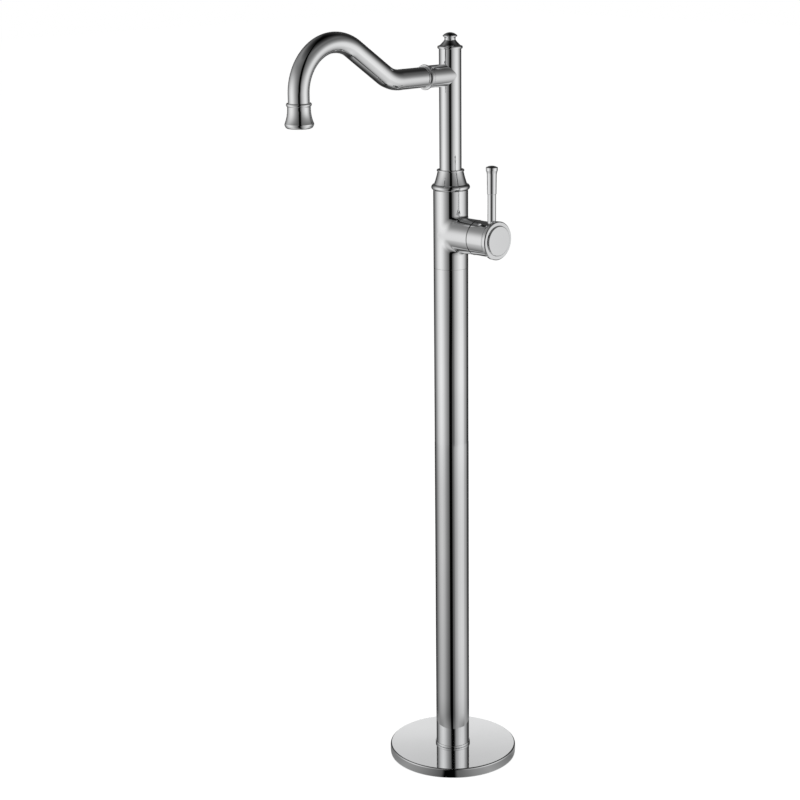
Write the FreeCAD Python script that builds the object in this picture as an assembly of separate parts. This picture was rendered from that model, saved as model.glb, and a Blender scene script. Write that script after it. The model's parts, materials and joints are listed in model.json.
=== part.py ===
"""Floor standing bath filler: a round floor plate, a tall column with a side valve
and a lever, and a swan-neck spout that swivels on top.

Millimetres, +Z up. The origin is the centre of the underside, on the floor.
The column stands on the Z axis, the spout points along -Y and the valve along +X.
"""
import FreeCAD, Part
import math
import os

V = FreeCAD.Vector

# ---- clearances ---------------------------------------------------------------
SNUG = 0.1                # pieces of one body
RUN = 0.05                # running fits
FREE = 0.3                # pieces of different bodies
LIGHT_PRESS = 0.05        # rubber in its groove
OVERCUT = 1.0             # how far a cutting shape reaches past what it cuts

# ---- floor stand --------------------------------------------------------------
COVER_R = 85.0            # floor cover
COVER_H = 13.0
COVER_EDGE = 2.2          # rounding of its upper edge
SHEET = 1.5               # its wall
PLATE_R = 75.0            # hidden floor plate
PLATE_T = 4.0
BOLT_PCD = 116.0
BOLT_HOLE_R = 4.5
BOLT_COUNT = 4
SPIGOT_TOP_Z = 70.0       # top of the sleeve that carries the column
SPIGOT_BORE_R = 16.0
LEDGE_Z = 6.0             # the inlet manifold hangs on this ledge
LEDGE_R = 14.0
FOOT_RING_W = 1.1
FOOT_RING_H = 3.4
FOOT_RING_EDGE = 0.9

# ---- column -------------------------------------------------------------------
COLUMN_R = 22.225         # 1 3/4 inch tube
COLUMN_WALL = 2.0
SEAM_Z = 672.0            # where the column ends and the valve body starts
COLUMN_BORE_R = COLUMN_R - COLUMN_WALL
SPIGOT_R = COLUMN_BORE_R - SNUG
GRUB_Z = 8.5
GRUB_R = 2.0
GRUB_KEY_R = 1.0
GRUB_ANGLES = [90, 210, 330]

# ---- water supply -------------------------------------------------------------
HOSE_Y = 7.2              # hot and cold lie either side of the column's axis
HOSE_R = 6.0
HOSE_BORE_R = 4.0
FERRULE_R = 6.6
BARB_BORE_R = 2.8
NIPPLE_R = 4.9
NIPPLE_L = 9.5
SHOULDER_L = 3.0
CRIMP_L = 17.0
INLET_THREAD_R = 5.46     # M12 x 1
INLET_THREAD_L = 12.5
WATERWAY_R = 3.5
MANIFOLD_Z = 0.5
MANIFOLD_TOP_Z = 30.0
CLIP_Z = MANIFOLD_TOP_Z + 0.2
CLIP_T = 1.2
CLIP_GROOVE = 1.0         # depth of the circlip's groove
CLIP_W = 2.4

# ---- valve body and swivel ----------------------------------------------------
VALVE_Z = 716.0           # height of the valve's axis
BODY_SOCKET_Z = 640.0     # lower end of the valve body's spigot
BODY_TOP_Z = 771.5        # shoulder that the swivel collar sits on
NECK_R = 18.0
NECK_TOP_Z = 783.0
CHAMBER_X = 12.0          # bottom of the cartridge's chamber
CHAMBER_R = 17.6
CHAMBER_MOUTH_X = 44.0
CHAMBER_MOUTH_R = 18.9
FEED_DROP = 8.0           # hot and cold enter below the valve's axis
MIXED_RISE = 10.0         # mixed water leaves above it
COLLAR_Z = BODY_TOP_Z + SNUG
COLLAR_TOP_Z = 797.4
COLLAR_BEAD_H = 7.2
COLLAR_BEAD_BULGE = 2.4
COLLAR_LIP_R = 17.5
COLLAR_NECK_R = 16.5      # top of the collar's cone
COLLAR_NECK_Z = COLLAR_TOP_Z - 2.4
RISER_BORE_R = 16.0       # the spout's swivel seat
RISER_BORE_Z = 741.0
FOOT_Z = 744.0
FOOT_TOP_Z = 766.0
FOOT_R = RISER_BORE_R - RUN
FOOT_BORE_R = 9.0
FOOT_SPIGOT_L = 12.0
FOOT_GROOVE_R = 13.75
FOOT_GROOVES = [(749.0, 752.0), (758.0, 761.0)]

# ---- riser and spout ----------------------------------------------------------
RISER_R = 14.0            # 28 mm tube
RISER_WALL = 1.3
RISER_TOP_Z = 947.2
TOP_Z = 967.0             # tip of the finial
FINIAL_PLUG_Z = 934.0
FINIAL_GROOVE = (938.0, 940.2)
FINIAL_GROOVE_R = 10.7
ARM_Z = 915.0             # height of the spout's horizontal arm
SPOUT_R = 12.75           # 1 inch tube
SPOUT_WALL = 1.2
ARM_END = 87.8            # where the arm starts to climb
CLIMB_DEG = 34.65         # slope of the climbing part
KNEE_R = 44.1             # bend between arm and climb
CLIMB_LENGTH = 58.3
BOW_R = 55.3              # the swan neck's bow
TUBE_START = 27.3
TUBE_END_Z = 889.0        # the spout tube ends inside the bell
SOCKET_R = RISER_R - SNUG
SOCKET_END = 42.6
SOCKET_LINE = 38.6        # fine turned line round the socket
SOCKET_LINE_W = 0.6
SPOUT_HOLE_R = 10.0       # the riser's side hole
SPOUT_BORE_R = 8.5
OUTLET_TOP_Z = 900.4      # upper edge of the outlet bell
OUTLET_Z = 871.2          # the bell's mouth
BELL_R = 17.3             # widest part of the bell
BELL_NECK_R = 13.85
AERATOR_R = 12.0
AERATOR_SEAT_Z = 880.0
AERATOR_BORE_R = 10.6

# ---- cartridge ----------------------------------------------------------------
PIVOT_X = 34.0            # centre of the lever's tilt, on the valve's axis
DOME_R = 26.3             # spherical end of the valve branch, about the pivot
DOME_WALL = 2.0
DOME_HOLE_R = 13.7
CARTRIDGE_R = 17.3
SEAL_R = 4.6
BASE_X = 14.3
DISC_X = 17.0             # the fixed disc's lower face
DISC_T = 3.0
DISC_PLAY_R = 15.0        # hollow that the mixing disc slides in
PORT_R = 2.8
CARRIER_X = 23.5
CARRIER_TOP_X = 27.0
CARRIER_R = 11.8
PLAY_TOP_X = 27.4
TURRET_X = 27.6
TURRET_R = 12.15
TURRET_TOP_X = 45.4
HOUSING_TOP_X = 46.0
HOUSING_NECK_R = 13.6
LIP_X = 43.8              # the housing's lip keeps the turret in
LIP_R = 11.2
NUT_X = 38.2
SPINDLE_W = 6.4
SPINDLE_END_X = 68.0
SPINDLE_NECK_R = 1.9
BALL_ARM = 7.8            # spindle ball, from the pivot
BALL_R = 2.4
PIN_R = 1.5

# ---- handle and lever ---------------------------------------------------------
HUB_BORE_R = 26.9         # spherical hollow of the hub, about the pivot
HUB_R = 22.0
HUB_END = 77.5
HUB_LINE_X = 74.6         # fine turned line round the hub
HUB_LINE_DEPTH = 0.35
RECESS_X = 74.4           # hollow in the hub's face for the disc's boss
RECESS_R = 15.0
SCREW_R = 2.0
SCREW_HEAD_X = 72.0
SCREW_HEAD_R = 3.8
SCREW_HEAD_T = 3.0
SCREW_KEY_R = 1.7
DISC_R = 24.2             # front disc
DISC_END = 83.1
DISC_BEVEL = 1.15
CAP_X = 80.9
CAP_R = 18.9
CAP_RECESS_R = 19.0
CAP_PROUD = 2.1
CAP_BEVEL = 0.9
CAP_PEG_R = 4.5
CAP_PEG_L = 3.0
LEVER_X = 71.8            # the lever's axis, from the column's axis
LEVER_TOP = 92.5          # the lever's top, above the valve's axis
STUD_R = 3.0
STUD_LOW = 15.5           # the stud's lower end, above the valve's axis
STEM_R = 5.3
STEM_FOOT = HUB_R - 0.9   # the stem's foot wraps a little way round the hub
GRIP_LOW = 57.0
GRIP_TIP_L = 12.0         # how far the stem's tip reaches into the grip

PORTS = [(-HOSE_Y, -FEED_DROP), (HOSE_Y, -FEED_DROP), (0.0, MIXED_RISE)]   # (y, height)

os.makedirs("parts", exist_ok=True)


# ---- how shapes are made ------------------------------------------------------
def save(name, shape):
    """Write one sub-part to its own file and print its volume."""
    shape.exportStep("parts/" + name + ".step")
    print(name, len(shape.Solids), "solid", round(shape.Volume), "mm3")


def rod(radius, z0, z1, x=0.0, y=0.0):
    """Cylinder along Z."""
    return Part.makeCylinder(radius, z1 - z0, V(x, y, z0), V(0, 0, 1))


def ring(outer, inner, z0, z1, x=0.0, y=0.0):
    """Tube along Z."""
    return rod(outer, z0, z1, x, y).cut(rod(inner, z0 - OVERCUT, z1 + OVERCUT, x, y))


def lathe(start, *steps):
    """Turn a closed outline about Z. A step is a point (r, z) for a straight line, or
    (point, bow) for an arc whose middle stands off the chord by bow. On an outline
    that runs anticlockwise, a bow above zero swells and one below zero hollows."""
    edges = []
    here = start
    for step in list(steps) + [start]:
        if isinstance(step[0], tuple):
            end, bow = step
            run = end[0] - here[0]
            rise = end[1] - here[1]
            chord = math.hypot(run, rise)
            middle = V((here[0] + end[0]) / 2 + bow * rise / chord, 0,
                       (here[1] + end[1]) / 2 - bow * run / chord)
            edges.append(Part.Arc(V(here[0], 0, here[1]), middle, V(end[0], 0, end[1])).toShape())
        else:
            end = step
            edges.append(Part.makeLine(V(here[0], 0, here[1]), V(end[0], 0, end[1])))
        here = end
    face = Part.Face(Part.Wire(edges))
    return face.revolve(V(0, 0, 0), V(0, 0, 1), 360)


def bow_of(radius, start, end):
    """How far the middle of an arc of that radius stands off its chord."""
    return radius - math.sqrt(radius ** 2 - (math.dist(start, end) / 2) ** 2)


def round_over(r, z, size):
    """Steps up an outer wall and over its rounded corner at (r, z)."""
    low = (r, z - size)
    top = (r - size, z)
    return [low, (top, bow_of(size, low, top))]


def crown(from_r, from_z, top_z):
    """Step that closes an outline with a spherical crown on the axis."""
    rise = top_z - from_z
    radius = (from_r ** 2 + rise ** 2) / (2 * rise)
    return ((0, top_z), bow_of(radius, (from_r, from_z), (0, top_z)))


def torus(centre_r, minor_r, z):
    """O-ring about Z."""
    return Part.makeTorus(centre_r, minor_r, V(0, 0, z), V(0, 0, 1))


def around_z(shape, angle):
    """A copy turned about Z."""
    turned = shape.copy()
    turned.rotate(V(0, 0, 0), V(0, 0, 1), angle)
    return turned


def radial_rod(radius, r0, r1, z, angle):
    """Cylinder that points away from the Z axis."""
    bar = Part.makeCylinder(radius, r1 - r0, V(r0, 0, z), V(1, 0, 0))
    return around_z(bar, angle)


def on_valve(shape):
    """Lay a shape made along Z on the valve's axis: Z becomes +X, X becomes -Z."""
    turned = shape.copy()
    turned.rotate(V(0, 0, 0), V(0, 1, 0), 90)
    turned.translate(V(0, 0, VALVE_Z))
    return turned


def on_arm(shape):
    """Lay a shape made along Z on the spout arm's axis: Z becomes -Y, Y becomes +Z."""
    turned = shape.copy()
    turned.rotate(V(0, 0, 0), V(1, 0, 0), 90)
    turned.translate(V(0, 0, ARM_Z))
    return turned


def on_sphere(radius, height):
    """Distance along the valve's axis of a point of a sphere about the pivot."""
    return PIVOT_X + math.sqrt(radius ** 2 - height ** 2)


def sphere_arc(radius, from_r, to_r):
    """Step of a lathe outline on a sphere about the pivot."""
    start = (from_r, on_sphere(radius, from_r))
    end = (to_r, on_sphere(radius, to_r))
    side = 1 if to_r < from_r else -1
    return (end, side * bow_of(radius, start, end))


# ---- floor stand and column ---------------------------------------------------
def floor_plate():
    """Round plate that is bolted to the floor, with a hole for the column's spigot."""
    plate = ring(PLATE_R, SPIGOT_R + RUN, 0, PLATE_T)
    for i in range(BOLT_COUNT):
        angle = math.radians(45 + 360 / BOLT_COUNT * i)
        x = BOLT_PCD / 2 * math.cos(angle)
        y = BOLT_PCD / 2 * math.sin(angle)
        plate = plate.cut(rod(BOLT_HOLE_R, -OVERCUT, PLATE_T + OVERCUT, x, y))
    return plate


def column_spigot():
    """Sleeve brazed into the floor plate. It carries the column and the manifold."""
    sleeve = ring(SPIGOT_R, SPIGOT_BORE_R, 0, SPIGOT_TOP_Z)
    ledge = ring(SPIGOT_BORE_R + OVERCUT, LEDGE_R, 0, LEDGE_Z)
    sleeve = sleeve.fuse(ledge).removeSplitter()
    sleeve = sleeve.cut(rod(SPIGOT_BORE_R + CLIP_GROOVE, CLIP_Z - SNUG, CLIP_Z + CLIP_T + SNUG))
    for angle in GRUB_ANGLES:
        hole = radial_rod(GRUB_R + RUN, SPIGOT_BORE_R - OVERCUT, SPIGOT_R + OVERCUT, GRUB_Z, angle)
        sleeve = sleeve.cut(hole)
    return sleeve


def base_cover():
    """Shallow upturned tray with a rounded edge and a hole for the column."""
    bore = COLUMN_R + SNUG
    inside_r = COVER_R - SHEET
    inside_z = COVER_H - SHEET
    corner = 0.5
    return lathe((inside_r, 0), (COVER_R, 0),
                 *round_over(COVER_R, COVER_H, COVER_EDGE),
                 (bore, COVER_H), (bore, inside_z),
                 (inside_r - corner, inside_z), (inside_r, inside_z - corner))


def foot_ring():
    """Thin ring that hides the gap between the cover and the column."""
    inner = COLUMN_R + RUN
    outer = COLUMN_R + FOOT_RING_W
    bottom = COVER_H + RUN
    top = bottom + FOOT_RING_H
    return lathe((inner, bottom), (outer, bottom),
                 *round_over(outer, top, FOOT_RING_EDGE), (inner, top))


def column_tube():
    tube = ring(COLUMN_R, COLUMN_BORE_R, PLATE_T + RUN, SEAM_Z - RUN)
    for angle in GRUB_ANGLES:
        hole = radial_rod(GRUB_R + FREE, COLUMN_BORE_R - OVERCUT, COLUMN_R + OVERCUT, GRUB_Z, angle)
        tube = tube.cut(hole)
    return tube


def column_grub_screws():
    """Three screws under the cover that hold the column to its spigot."""
    inner_end = SPIGOT_BORE_R + 0.4
    outer_end = COLUMN_R - 0.4
    key_depth = 2.0
    screws = []
    for angle in GRUB_ANGLES:
        screw = radial_rod(GRUB_R, inner_end, outer_end, GRUB_Z, angle)
        key = radial_rod(GRUB_KEY_R, outer_end - key_depth, COLUMN_R, GRUB_Z, angle)
        screws.append(screw.cut(key))
    return Part.makeCompound(screws)


# ---- water supply inside the column -------------------------------------------
def nipple_hole(face_z, side, y):
    """Cutting bar for the socket that a hose nipple sits in, above or below a face."""
    depth = NIPPLE_L + 0.5
    low = min(face_z - side * OVERCUT, face_z + side * depth)
    return rod(NIPPLE_R + SNUG, low, low + depth + OVERCUT, 0, y)


def inlet_manifold():
    """Turned plug with the threads that the supply hoses of the house screw into."""
    body = rod(LEDGE_R - SNUG, MANIFOLD_Z, LEDGE_Z + OVERCUT)
    body = body.fuse(rod(SPIGOT_BORE_R - SNUG, LEDGE_Z + RUN, MANIFOLD_TOP_Z)).removeSplitter()
    thread_top = MANIFOLD_Z + INLET_THREAD_L
    for y in (-HOSE_Y, HOSE_Y):
        body = body.cut(rod(INLET_THREAD_R, MANIFOLD_Z - OVERCUT, thread_top, 0, y))
        body = body.cut(rod(WATERWAY_R, thread_top - OVERCUT, MANIFOLD_TOP_Z, 0, y))
        body = body.cut(nipple_hole(MANIFOLD_TOP_Z, -1, y))
    return body


def manifold_clip():
    """Internal circlip that holds the manifold down, open at one side."""
    outer = SPIGOT_BORE_R + CLIP_GROOVE - SNUG
    opening = 10.0
    clip = ring(outer, outer - CLIP_W, CLIP_Z, CLIP_Z + CLIP_T)
    gap = Part.makeBox(2 * CLIP_W, opening, 3 * CLIP_T, V(outer - 1.5 * CLIP_W, -opening / 2, CLIP_Z - CLIP_T))
    return clip.cut(gap)


def hose_end(y, face_z, side):
    """Crimped fitting at a face: a threaded nipple goes into it on that side (1 is up,
    -1 is down), and a shoulder, a barb and a ferrule on the other side hold the hose."""
    def span(radius, along_0, along_1):
        ends = sorted((face_z + side * along_0, face_z + side * along_1))
        return rod(radius, *ends)

    seat = 0.2
    nipple = span(NIPPLE_R, -seat, NIPPLE_L)
    shoulder = span(FERRULE_R, -SHOULDER_L, -seat)
    barb = span(HOSE_BORE_R - RUN, -CRIMP_L, -SHOULDER_L)
    ferrule = span(FERRULE_R, -CRIMP_L, -SHOULDER_L).cut(span(HOSE_R + RUN, -CRIMP_L, -SHOULDER_L))
    piece = shoulder.fuse([nipple, barb, ferrule])
    piece = piece.cut(span(BARB_BORE_R, -CRIMP_L - OVERCUT, NIPPLE_L + OVERCUT))
    piece.translate(V(0, y, 0))
    return piece


def hose(y):
    """Straight supply hose that is held between its two fittings."""
    off_face = SHOULDER_L + 0.2
    return ring(HOSE_R, HOSE_BORE_R, MANIFOLD_TOP_Z + off_face, BODY_SOCKET_Z - off_face, 0, y)


def hose_fittings(y):
    return Part.makeCompound([hose_end(y, MANIFOLD_TOP_Z, -1), hose_end(y, BODY_SOCKET_Z, 1)])


# ---- valve body and the spout's swivel seat -----------------------------------
def valve_branch():
    """Horizontal branch that ends in a sphere about the lever's pivot."""
    return on_valve(lathe((0, 0), (COLUMN_R, 0),
                          (COLUMN_R, on_sphere(DOME_R, COLUMN_R)),
                          sphere_arc(DOME_R, COLUMN_R, CHAMBER_MOUTH_R),
                          (0, on_sphere(DOME_R, CHAMBER_MOUTH_R))))


def cross_drilling(radius, y, z):
    """Bar from the column's axis to the cartridge chamber's floor."""
    return Part.makeCylinder(radius, CHAMBER_X + OVERCUT, V(0, y, z), V(1, 0, 0))


def valve_body():
    """One casting: trunk, spigot for the column, neck for the collar, and the branch."""
    trunk = rod(COLUMN_R, SEAM_Z, BODY_TOP_Z)
    spigot = rod(SPIGOT_R, BODY_SOCKET_Z, SEAM_Z)
    neck = rod(NECK_R, BODY_TOP_Z, NECK_TOP_Z)
    body = trunk.fuse([spigot, neck, valve_branch()]).removeSplitter()
    mouth_x = on_sphere(DOME_R, 0)
    body = body.cut(on_valve(rod(CHAMBER_R, CHAMBER_X, CHAMBER_MOUTH_X + OVERCUT)))
    body = body.cut(on_valve(rod(CHAMBER_MOUTH_R, CHAMBER_MOUTH_X, mouth_x)))
    body = body.cut(rod(RISER_BORE_R, RISER_BORE_Z, NECK_TOP_Z + OVERCUT))
    feed_z = VALVE_Z - FEED_DROP
    for y in (-HOSE_Y, HOSE_Y):
        body = body.cut(nipple_hole(BODY_SOCKET_Z, 1, y))
        body = body.cut(rod(WATERWAY_R, BODY_SOCKET_Z, feed_z + OVERCUT, 0, y))
        body = body.cut(cross_drilling(WATERWAY_R, y, feed_z))
    mixed_z = VALVE_Z + MIXED_RISE
    mixed_r = WATERWAY_R + 1.0
    body = body.cut(cross_drilling(mixed_r, 0, mixed_z))
    return body.cut(rod(mixed_r, mixed_z, RISER_BORE_Z + OVERCUT))


def swivel_collar():
    """Bell-shaped cap: a half-round bead, a hollow cone and a thin flat lip."""
    bead_top = COLLAR_Z + COLLAR_BEAD_H
    cone_foot = (COLUMN_R - 0.5, bead_top + 0.2)
    bore = RISER_R + FREE + RUN
    step_z = NECK_TOP_Z + 0.2
    return lathe((COLUMN_R, COLLAR_Z),
                 ((COLUMN_R, bead_top), COLLAR_BEAD_BULGE),
                 cone_foot,
                 ((COLLAR_NECK_R, COLLAR_NECK_Z), -0.45),
                 (COLLAR_NECK_R, COLLAR_TOP_Z - 2.1), (COLLAR_LIP_R, COLLAR_TOP_Z - 1.8),
                 *round_over(COLLAR_LIP_R, COLLAR_TOP_Z, 0.9),
                 (bore, COLLAR_TOP_Z), (bore, step_z),
                 (NECK_R + SNUG, step_z), (NECK_R + SNUG, COLLAR_Z))


def swivel_bush():
    """Plain bearing between the riser and the valve body's neck."""
    return ring(RISER_BORE_R - RUN, RISER_R + RUN, FOOT_TOP_Z + FREE, NECK_TOP_Z)


def thrust_washer():
    """Low friction washer that the spout's foot rests on."""
    return ring(RISER_BORE_R - FREE, FOOT_BORE_R, RISER_BORE_Z + RUN, FOOT_Z - FREE)


# ---- riser and finial ---------------------------------------------------------
def riser_foot():
    """Turned foot that the riser stands in the valve body with."""
    foot = rod(FOOT_R, FOOT_Z, FOOT_TOP_Z)
    spigot_r = RISER_R - RISER_WALL - RUN
    foot = foot.fuse(rod(spigot_r, FOOT_TOP_Z, FOOT_TOP_Z + FOOT_SPIGOT_L))
    foot = foot.cut(rod(FOOT_BORE_R, FOOT_Z - OVERCUT, FOOT_TOP_Z + FOOT_SPIGOT_L + OVERCUT))
    for low, high in FOOT_GROOVES:
        foot = foot.cut(ring(FOOT_R + OVERCUT, FOOT_GROOVE_R, low, high))
    return foot


def foot_orings():
    """Two rings that seal the swivel."""
    minor = (FOOT_R - FOOT_GROOVE_R) / 2 - LIGHT_PRESS
    centre = (FOOT_R + FOOT_GROOVE_R) / 2
    return Part.makeCompound([torus(centre, minor, (low + high) / 2) for low, high in FOOT_GROOVES])


def riser_tube():
    """Upright tube with a side hole for the spout's socket."""
    tube = ring(RISER_R, RISER_R - RISER_WALL, FOOT_TOP_Z + RUN, RISER_TOP_Z)
    return tube.cut(on_arm(rod(SPOUT_HOLE_R, 0, RISER_R + OVERCUT)))


def finial():
    """Turned knob with a plug that closes the riser: bead, cone, waist and button."""
    plug_r = RISER_R - RISER_WALL - RUN
    bottom = RISER_TOP_Z + RUN
    bead_r = 15.3
    bead_top = bottom + 3.2
    cone_foot = (12.9, bead_top + 0.8)
    waist_r = 6.9
    waist_low = TOP_Z - 9.2
    waist_high = TOP_Z - 7.2
    button_low = (8.5, TOP_Z - 5.3)
    button_high = (8.6, TOP_Z - 3.4)
    knob = lathe((0, FINIAL_PLUG_Z), (plug_r, FINIAL_PLUG_Z), (plug_r, bottom), (bead_r, bottom),
                 ((bead_r, bead_top), 0.5),
                 cone_foot,
                 ((waist_r, waist_low), -0.18),
                 (waist_r, waist_high),
                 (button_low, -0.33),
                 (button_high, 0.5),
                 crown(*button_high, TOP_Z))
    return knob.cut(ring(plug_r + OVERCUT, FINIAL_GROOVE_R, *FINIAL_GROOVE))


def finial_oring():
    plug_r = RISER_R - RISER_WALL
    minor = (plug_r - FINIAL_GROOVE_R) / 2 - LIGHT_PRESS
    return torus((plug_r + FINIAL_GROOVE_R) / 2, minor, sum(FINIAL_GROOVE) / 2)


# ---- spout --------------------------------------------------------------------
def spout_socket():
    """Sleeve brazed to the riser's side, with a saddle end and a locating spigot."""
    sleeve = rod(SOCKET_R, 0, SOCKET_END)
    line_r = SOCKET_R - 0.3
    line = ring(SOCKET_R + OVERCUT, line_r, SOCKET_LINE, SOCKET_LINE + SOCKET_LINE_W)
    sleeve = on_arm(sleeve.cut(line))
    sleeve = sleeve.cut(rod(RISER_R + RUN, ARM_Z - 2 * RISER_R, ARM_Z + 2 * RISER_R))
    spigot = on_arm(rod(SPOUT_HOLE_R - SNUG, RISER_R - 2.5, RISER_R + 6.0))
    piece = sleeve.fuse(spigot)
    piece = piece.cut(on_arm(rod(SPOUT_BORE_R, 0, TUBE_START + OVERCUT)))
    return piece.cut(on_arm(rod(SPOUT_R + RUN, TUBE_START - RUN, SOCKET_END + OVERCUT)))


def spout_flange():
    """Thin rounded ring with a small neck where the spout tube enters its socket."""
    low = SOCKET_END + RUN
    high = low + 2.4
    end = high + 2.8
    bore = SPOUT_R + RUN
    ring_r = 14.9
    neck_r = 13.5
    chamfer = 0.3
    return on_arm(lathe((bore, low), (ring_r, low), ((ring_r, high), 0.7),
                        (neck_r, high), (neck_r, end - chamfer), (neck_r - chamfer, end), (bore, end)))


def spout_path():
    """The tube's centre line: arm, knee, climb, bow and outlet leg. Returns the wire
    and how far from the column's axis the water leaves."""
    climb = math.radians(CLIMB_DEG)

    def at(along, z):
        return V(0, -along, z)

    def arc(centre, radius, start, end):
        points = [at(centre[0] + radius * math.cos(a), centre[1] + radius * math.sin(a))
                  for a in (start, (start + end) / 2, end)]
        return Part.Arc(*points).toShape()

    knee = (ARM_END, ARM_Z + KNEE_R)
    knee_end = (ARM_END + KNEE_R * math.sin(climb), ARM_Z + KNEE_R * (1 - math.cos(climb)))
    bow_start = (knee_end[0] + CLIMB_LENGTH * math.cos(climb),
                 knee_end[1] + CLIMB_LENGTH * math.sin(climb))
    bow = (bow_start[0] + BOW_R * math.sin(climb), bow_start[1] - BOW_R * math.cos(climb))
    reach = bow[0] + BOW_R
    edges = [Part.makeLine(at(TUBE_START, ARM_Z), at(ARM_END, ARM_Z)),
             arc(knee, KNEE_R, -math.pi / 2, climb - math.pi / 2),
             Part.makeLine(at(*knee_end), at(*bow_start)),
             arc(bow, BOW_R, climb + math.pi / 2, 0),
             Part.makeLine(at(reach, bow[1]), at(reach, TUBE_END_Z))]
    return Part.Wire(edges), reach


SPOUT_PATH, OUTLET_REACH = spout_path()


def spout_tube():
    """One tube bent to the spout's path."""
    def core(radius):
        circle = Part.makeCircle(radius, V(0, -TUBE_START, ARM_Z), V(0, -1, 0))
        return SPOUT_PATH.makePipeShell([Part.Wire(circle)], True, False)
    return core(SPOUT_R).cut(core(SPOUT_R - SPOUT_WALL))


# ---- outlet -------------------------------------------------------------------
def at_outlet(shape):
    """Move a shape made about Z to the spout's outlet."""
    moved = shape.copy()
    moved.translate(V(0, -OUTLET_REACH, 0))
    return moved


def outlet_bell():
    """Flared bell with a rolled lip at its mouth and a bead at its upper edge."""
    tube_bore = SPOUT_R + RUN
    tube_end = TUBE_END_Z - RUN
    water_r = SPOUT_R - SPOUT_WALL
    lip = (14.4, OUTLET_Z)
    lip_side = (BELL_R - 0.5, OUTLET_Z + 2.6)
    flare_foot = (BELL_R, OUTLET_Z + 5.4)
    neck_low = (BELL_NECK_R, OUTLET_TOP_Z - 7.5)
    neck_high = (BELL_NECK_R, OUTLET_TOP_Z - 4.2)
    bead_low = (BELL_NECK_R + 0.35, OUTLET_TOP_Z - 4.0)
    bead_high = (BELL_NECK_R + 0.35, OUTLET_TOP_Z)
    return at_outlet(lathe((AERATOR_R, OUTLET_Z), lip, (lip_side, 0.52), (flare_foot, 0.39),
                           (neck_low, -0.82), neck_high, bead_low, (bead_high, 0.85),
                           (tube_bore, OUTLET_TOP_Z), (tube_bore, tube_end),
                           (water_r, tube_end), (water_r, AERATOR_SEAT_Z),
                           (AERATOR_R, AERATOR_SEAT_Z)))


def aerator_housing():
    """Thin sleeve that screws into the bell's mouth and holds the aerator."""
    return at_outlet(ring(AERATOR_R - SNUG, AERATOR_BORE_R, OUTLET_Z + 0.5, AERATOR_SEAT_Z - 2.0))


def pierced(radius, z0, z1, hole_r, pitch):
    """Round plate with rings of small holes."""
    holes = [rod(hole_r, z0 - OVERCUT, z1 + OVERCUT)]
    ring_r = pitch
    rim = 0.5
    while ring_r + hole_r < radius - rim:
        count = int(2 * math.pi * ring_r / pitch)
        for i in range(count):
            angle = 2 * math.pi * i / count
            x = ring_r * math.cos(angle)
            y = ring_r * math.sin(angle)
            holes.append(rod(hole_r, z0 - OVERCUT, z1 + OVERCUT, x, y))
        ring_r += pitch
    return rod(radius, z0, z1).cut(holes)


def aerator_core():
    """Flow straightener: a thick plate pierced by rings of holes."""
    low = OUTLET_Z + 2.8
    return at_outlet(pierced(AERATOR_BORE_R - SNUG, low, low + 3.6, 0.9, 2.6))


def aerator_screen():
    """Fine screen across the mouth, a thin pierced plate."""
    low = OUTLET_Z + 1.6
    return at_outlet(pierced(AERATOR_BORE_R - SNUG, low, low + 0.8, 0.55, 1.7))


def aerator_washer():
    inner = 9.2
    return at_outlet(ring(AERATOR_R - SNUG, inner, AERATOR_SEAT_Z - 1.9, AERATOR_SEAT_Z - SNUG))


# ---- cartridge: fixed pieces --------------------------------------------------
def port_rods(radius, x0, x1):
    """Three bars through the cartridge's ports. Height up is -X before laying down."""
    return [rod(radius, x0 - OVERCUT, x1 + OVERCUT, -height, y) for y, height in PORTS]


def cartridge_seals():
    """Rubber rings between the chamber's floor and the cartridge's base."""
    seals = [ring(SEAL_R, WATERWAY_R - 0.3, CHAMBER_X + RUN, BASE_X - SNUG, -height, y)
             for y, height in PORTS]
    return Part.makeCompound([on_valve(seal) for seal in seals])


def cartridge_base():
    top = DISC_X - RUN
    return on_valve(rod(CARTRIDGE_R, BASE_X, top).cut(port_rods(PORT_R + 0.4, BASE_X, top)))


def fixed_disc():
    """Ceramic disc with the three ports."""
    top = DISC_X + DISC_T
    return on_valve(rod(DISC_PLAY_R - SNUG, DISC_X, top).cut(port_rods(PORT_R, DISC_X, top)))


def cartridge_housing():
    """Plastic sleeve: wide hollow for the discs, narrow hollow for the turret."""
    shoulder_x = NUT_X - 0.2
    return on_valve(lathe((DISC_PLAY_R, DISC_X), (CARTRIDGE_R, DISC_X), (CARTRIDGE_R, shoulder_x),
                          (HOUSING_NECK_R, shoulder_x), (HOUSING_NECK_R, HOUSING_TOP_X),
                          (LIP_R, HOUSING_TOP_X), (LIP_R, LIP_X),
                          (TURRET_R + RUN, LIP_X), (TURRET_R + RUN, PLAY_TOP_X),
                          (DISC_PLAY_R, PLAY_TOP_X)))


def cartridge_nut():
    """Threaded ring with four key slots that clamps the cartridge."""
    top = CHAMBER_MOUTH_X - 0.2
    slot_w = 3.4
    slot_depth = 2.2
    nut = ring(CHAMBER_R - SNUG, HOUSING_NECK_R + SNUG, NUT_X, top)
    for angle in (0, 90, 180, 270):
        slot = Part.makeBox(slot_depth, slot_w, slot_depth + OVERCUT,
                            V(CHAMBER_R - 2.0, -slot_w / 2, top - slot_depth))
        nut = nut.cut(around_z(slot, angle))
    return on_valve(nut)


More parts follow.
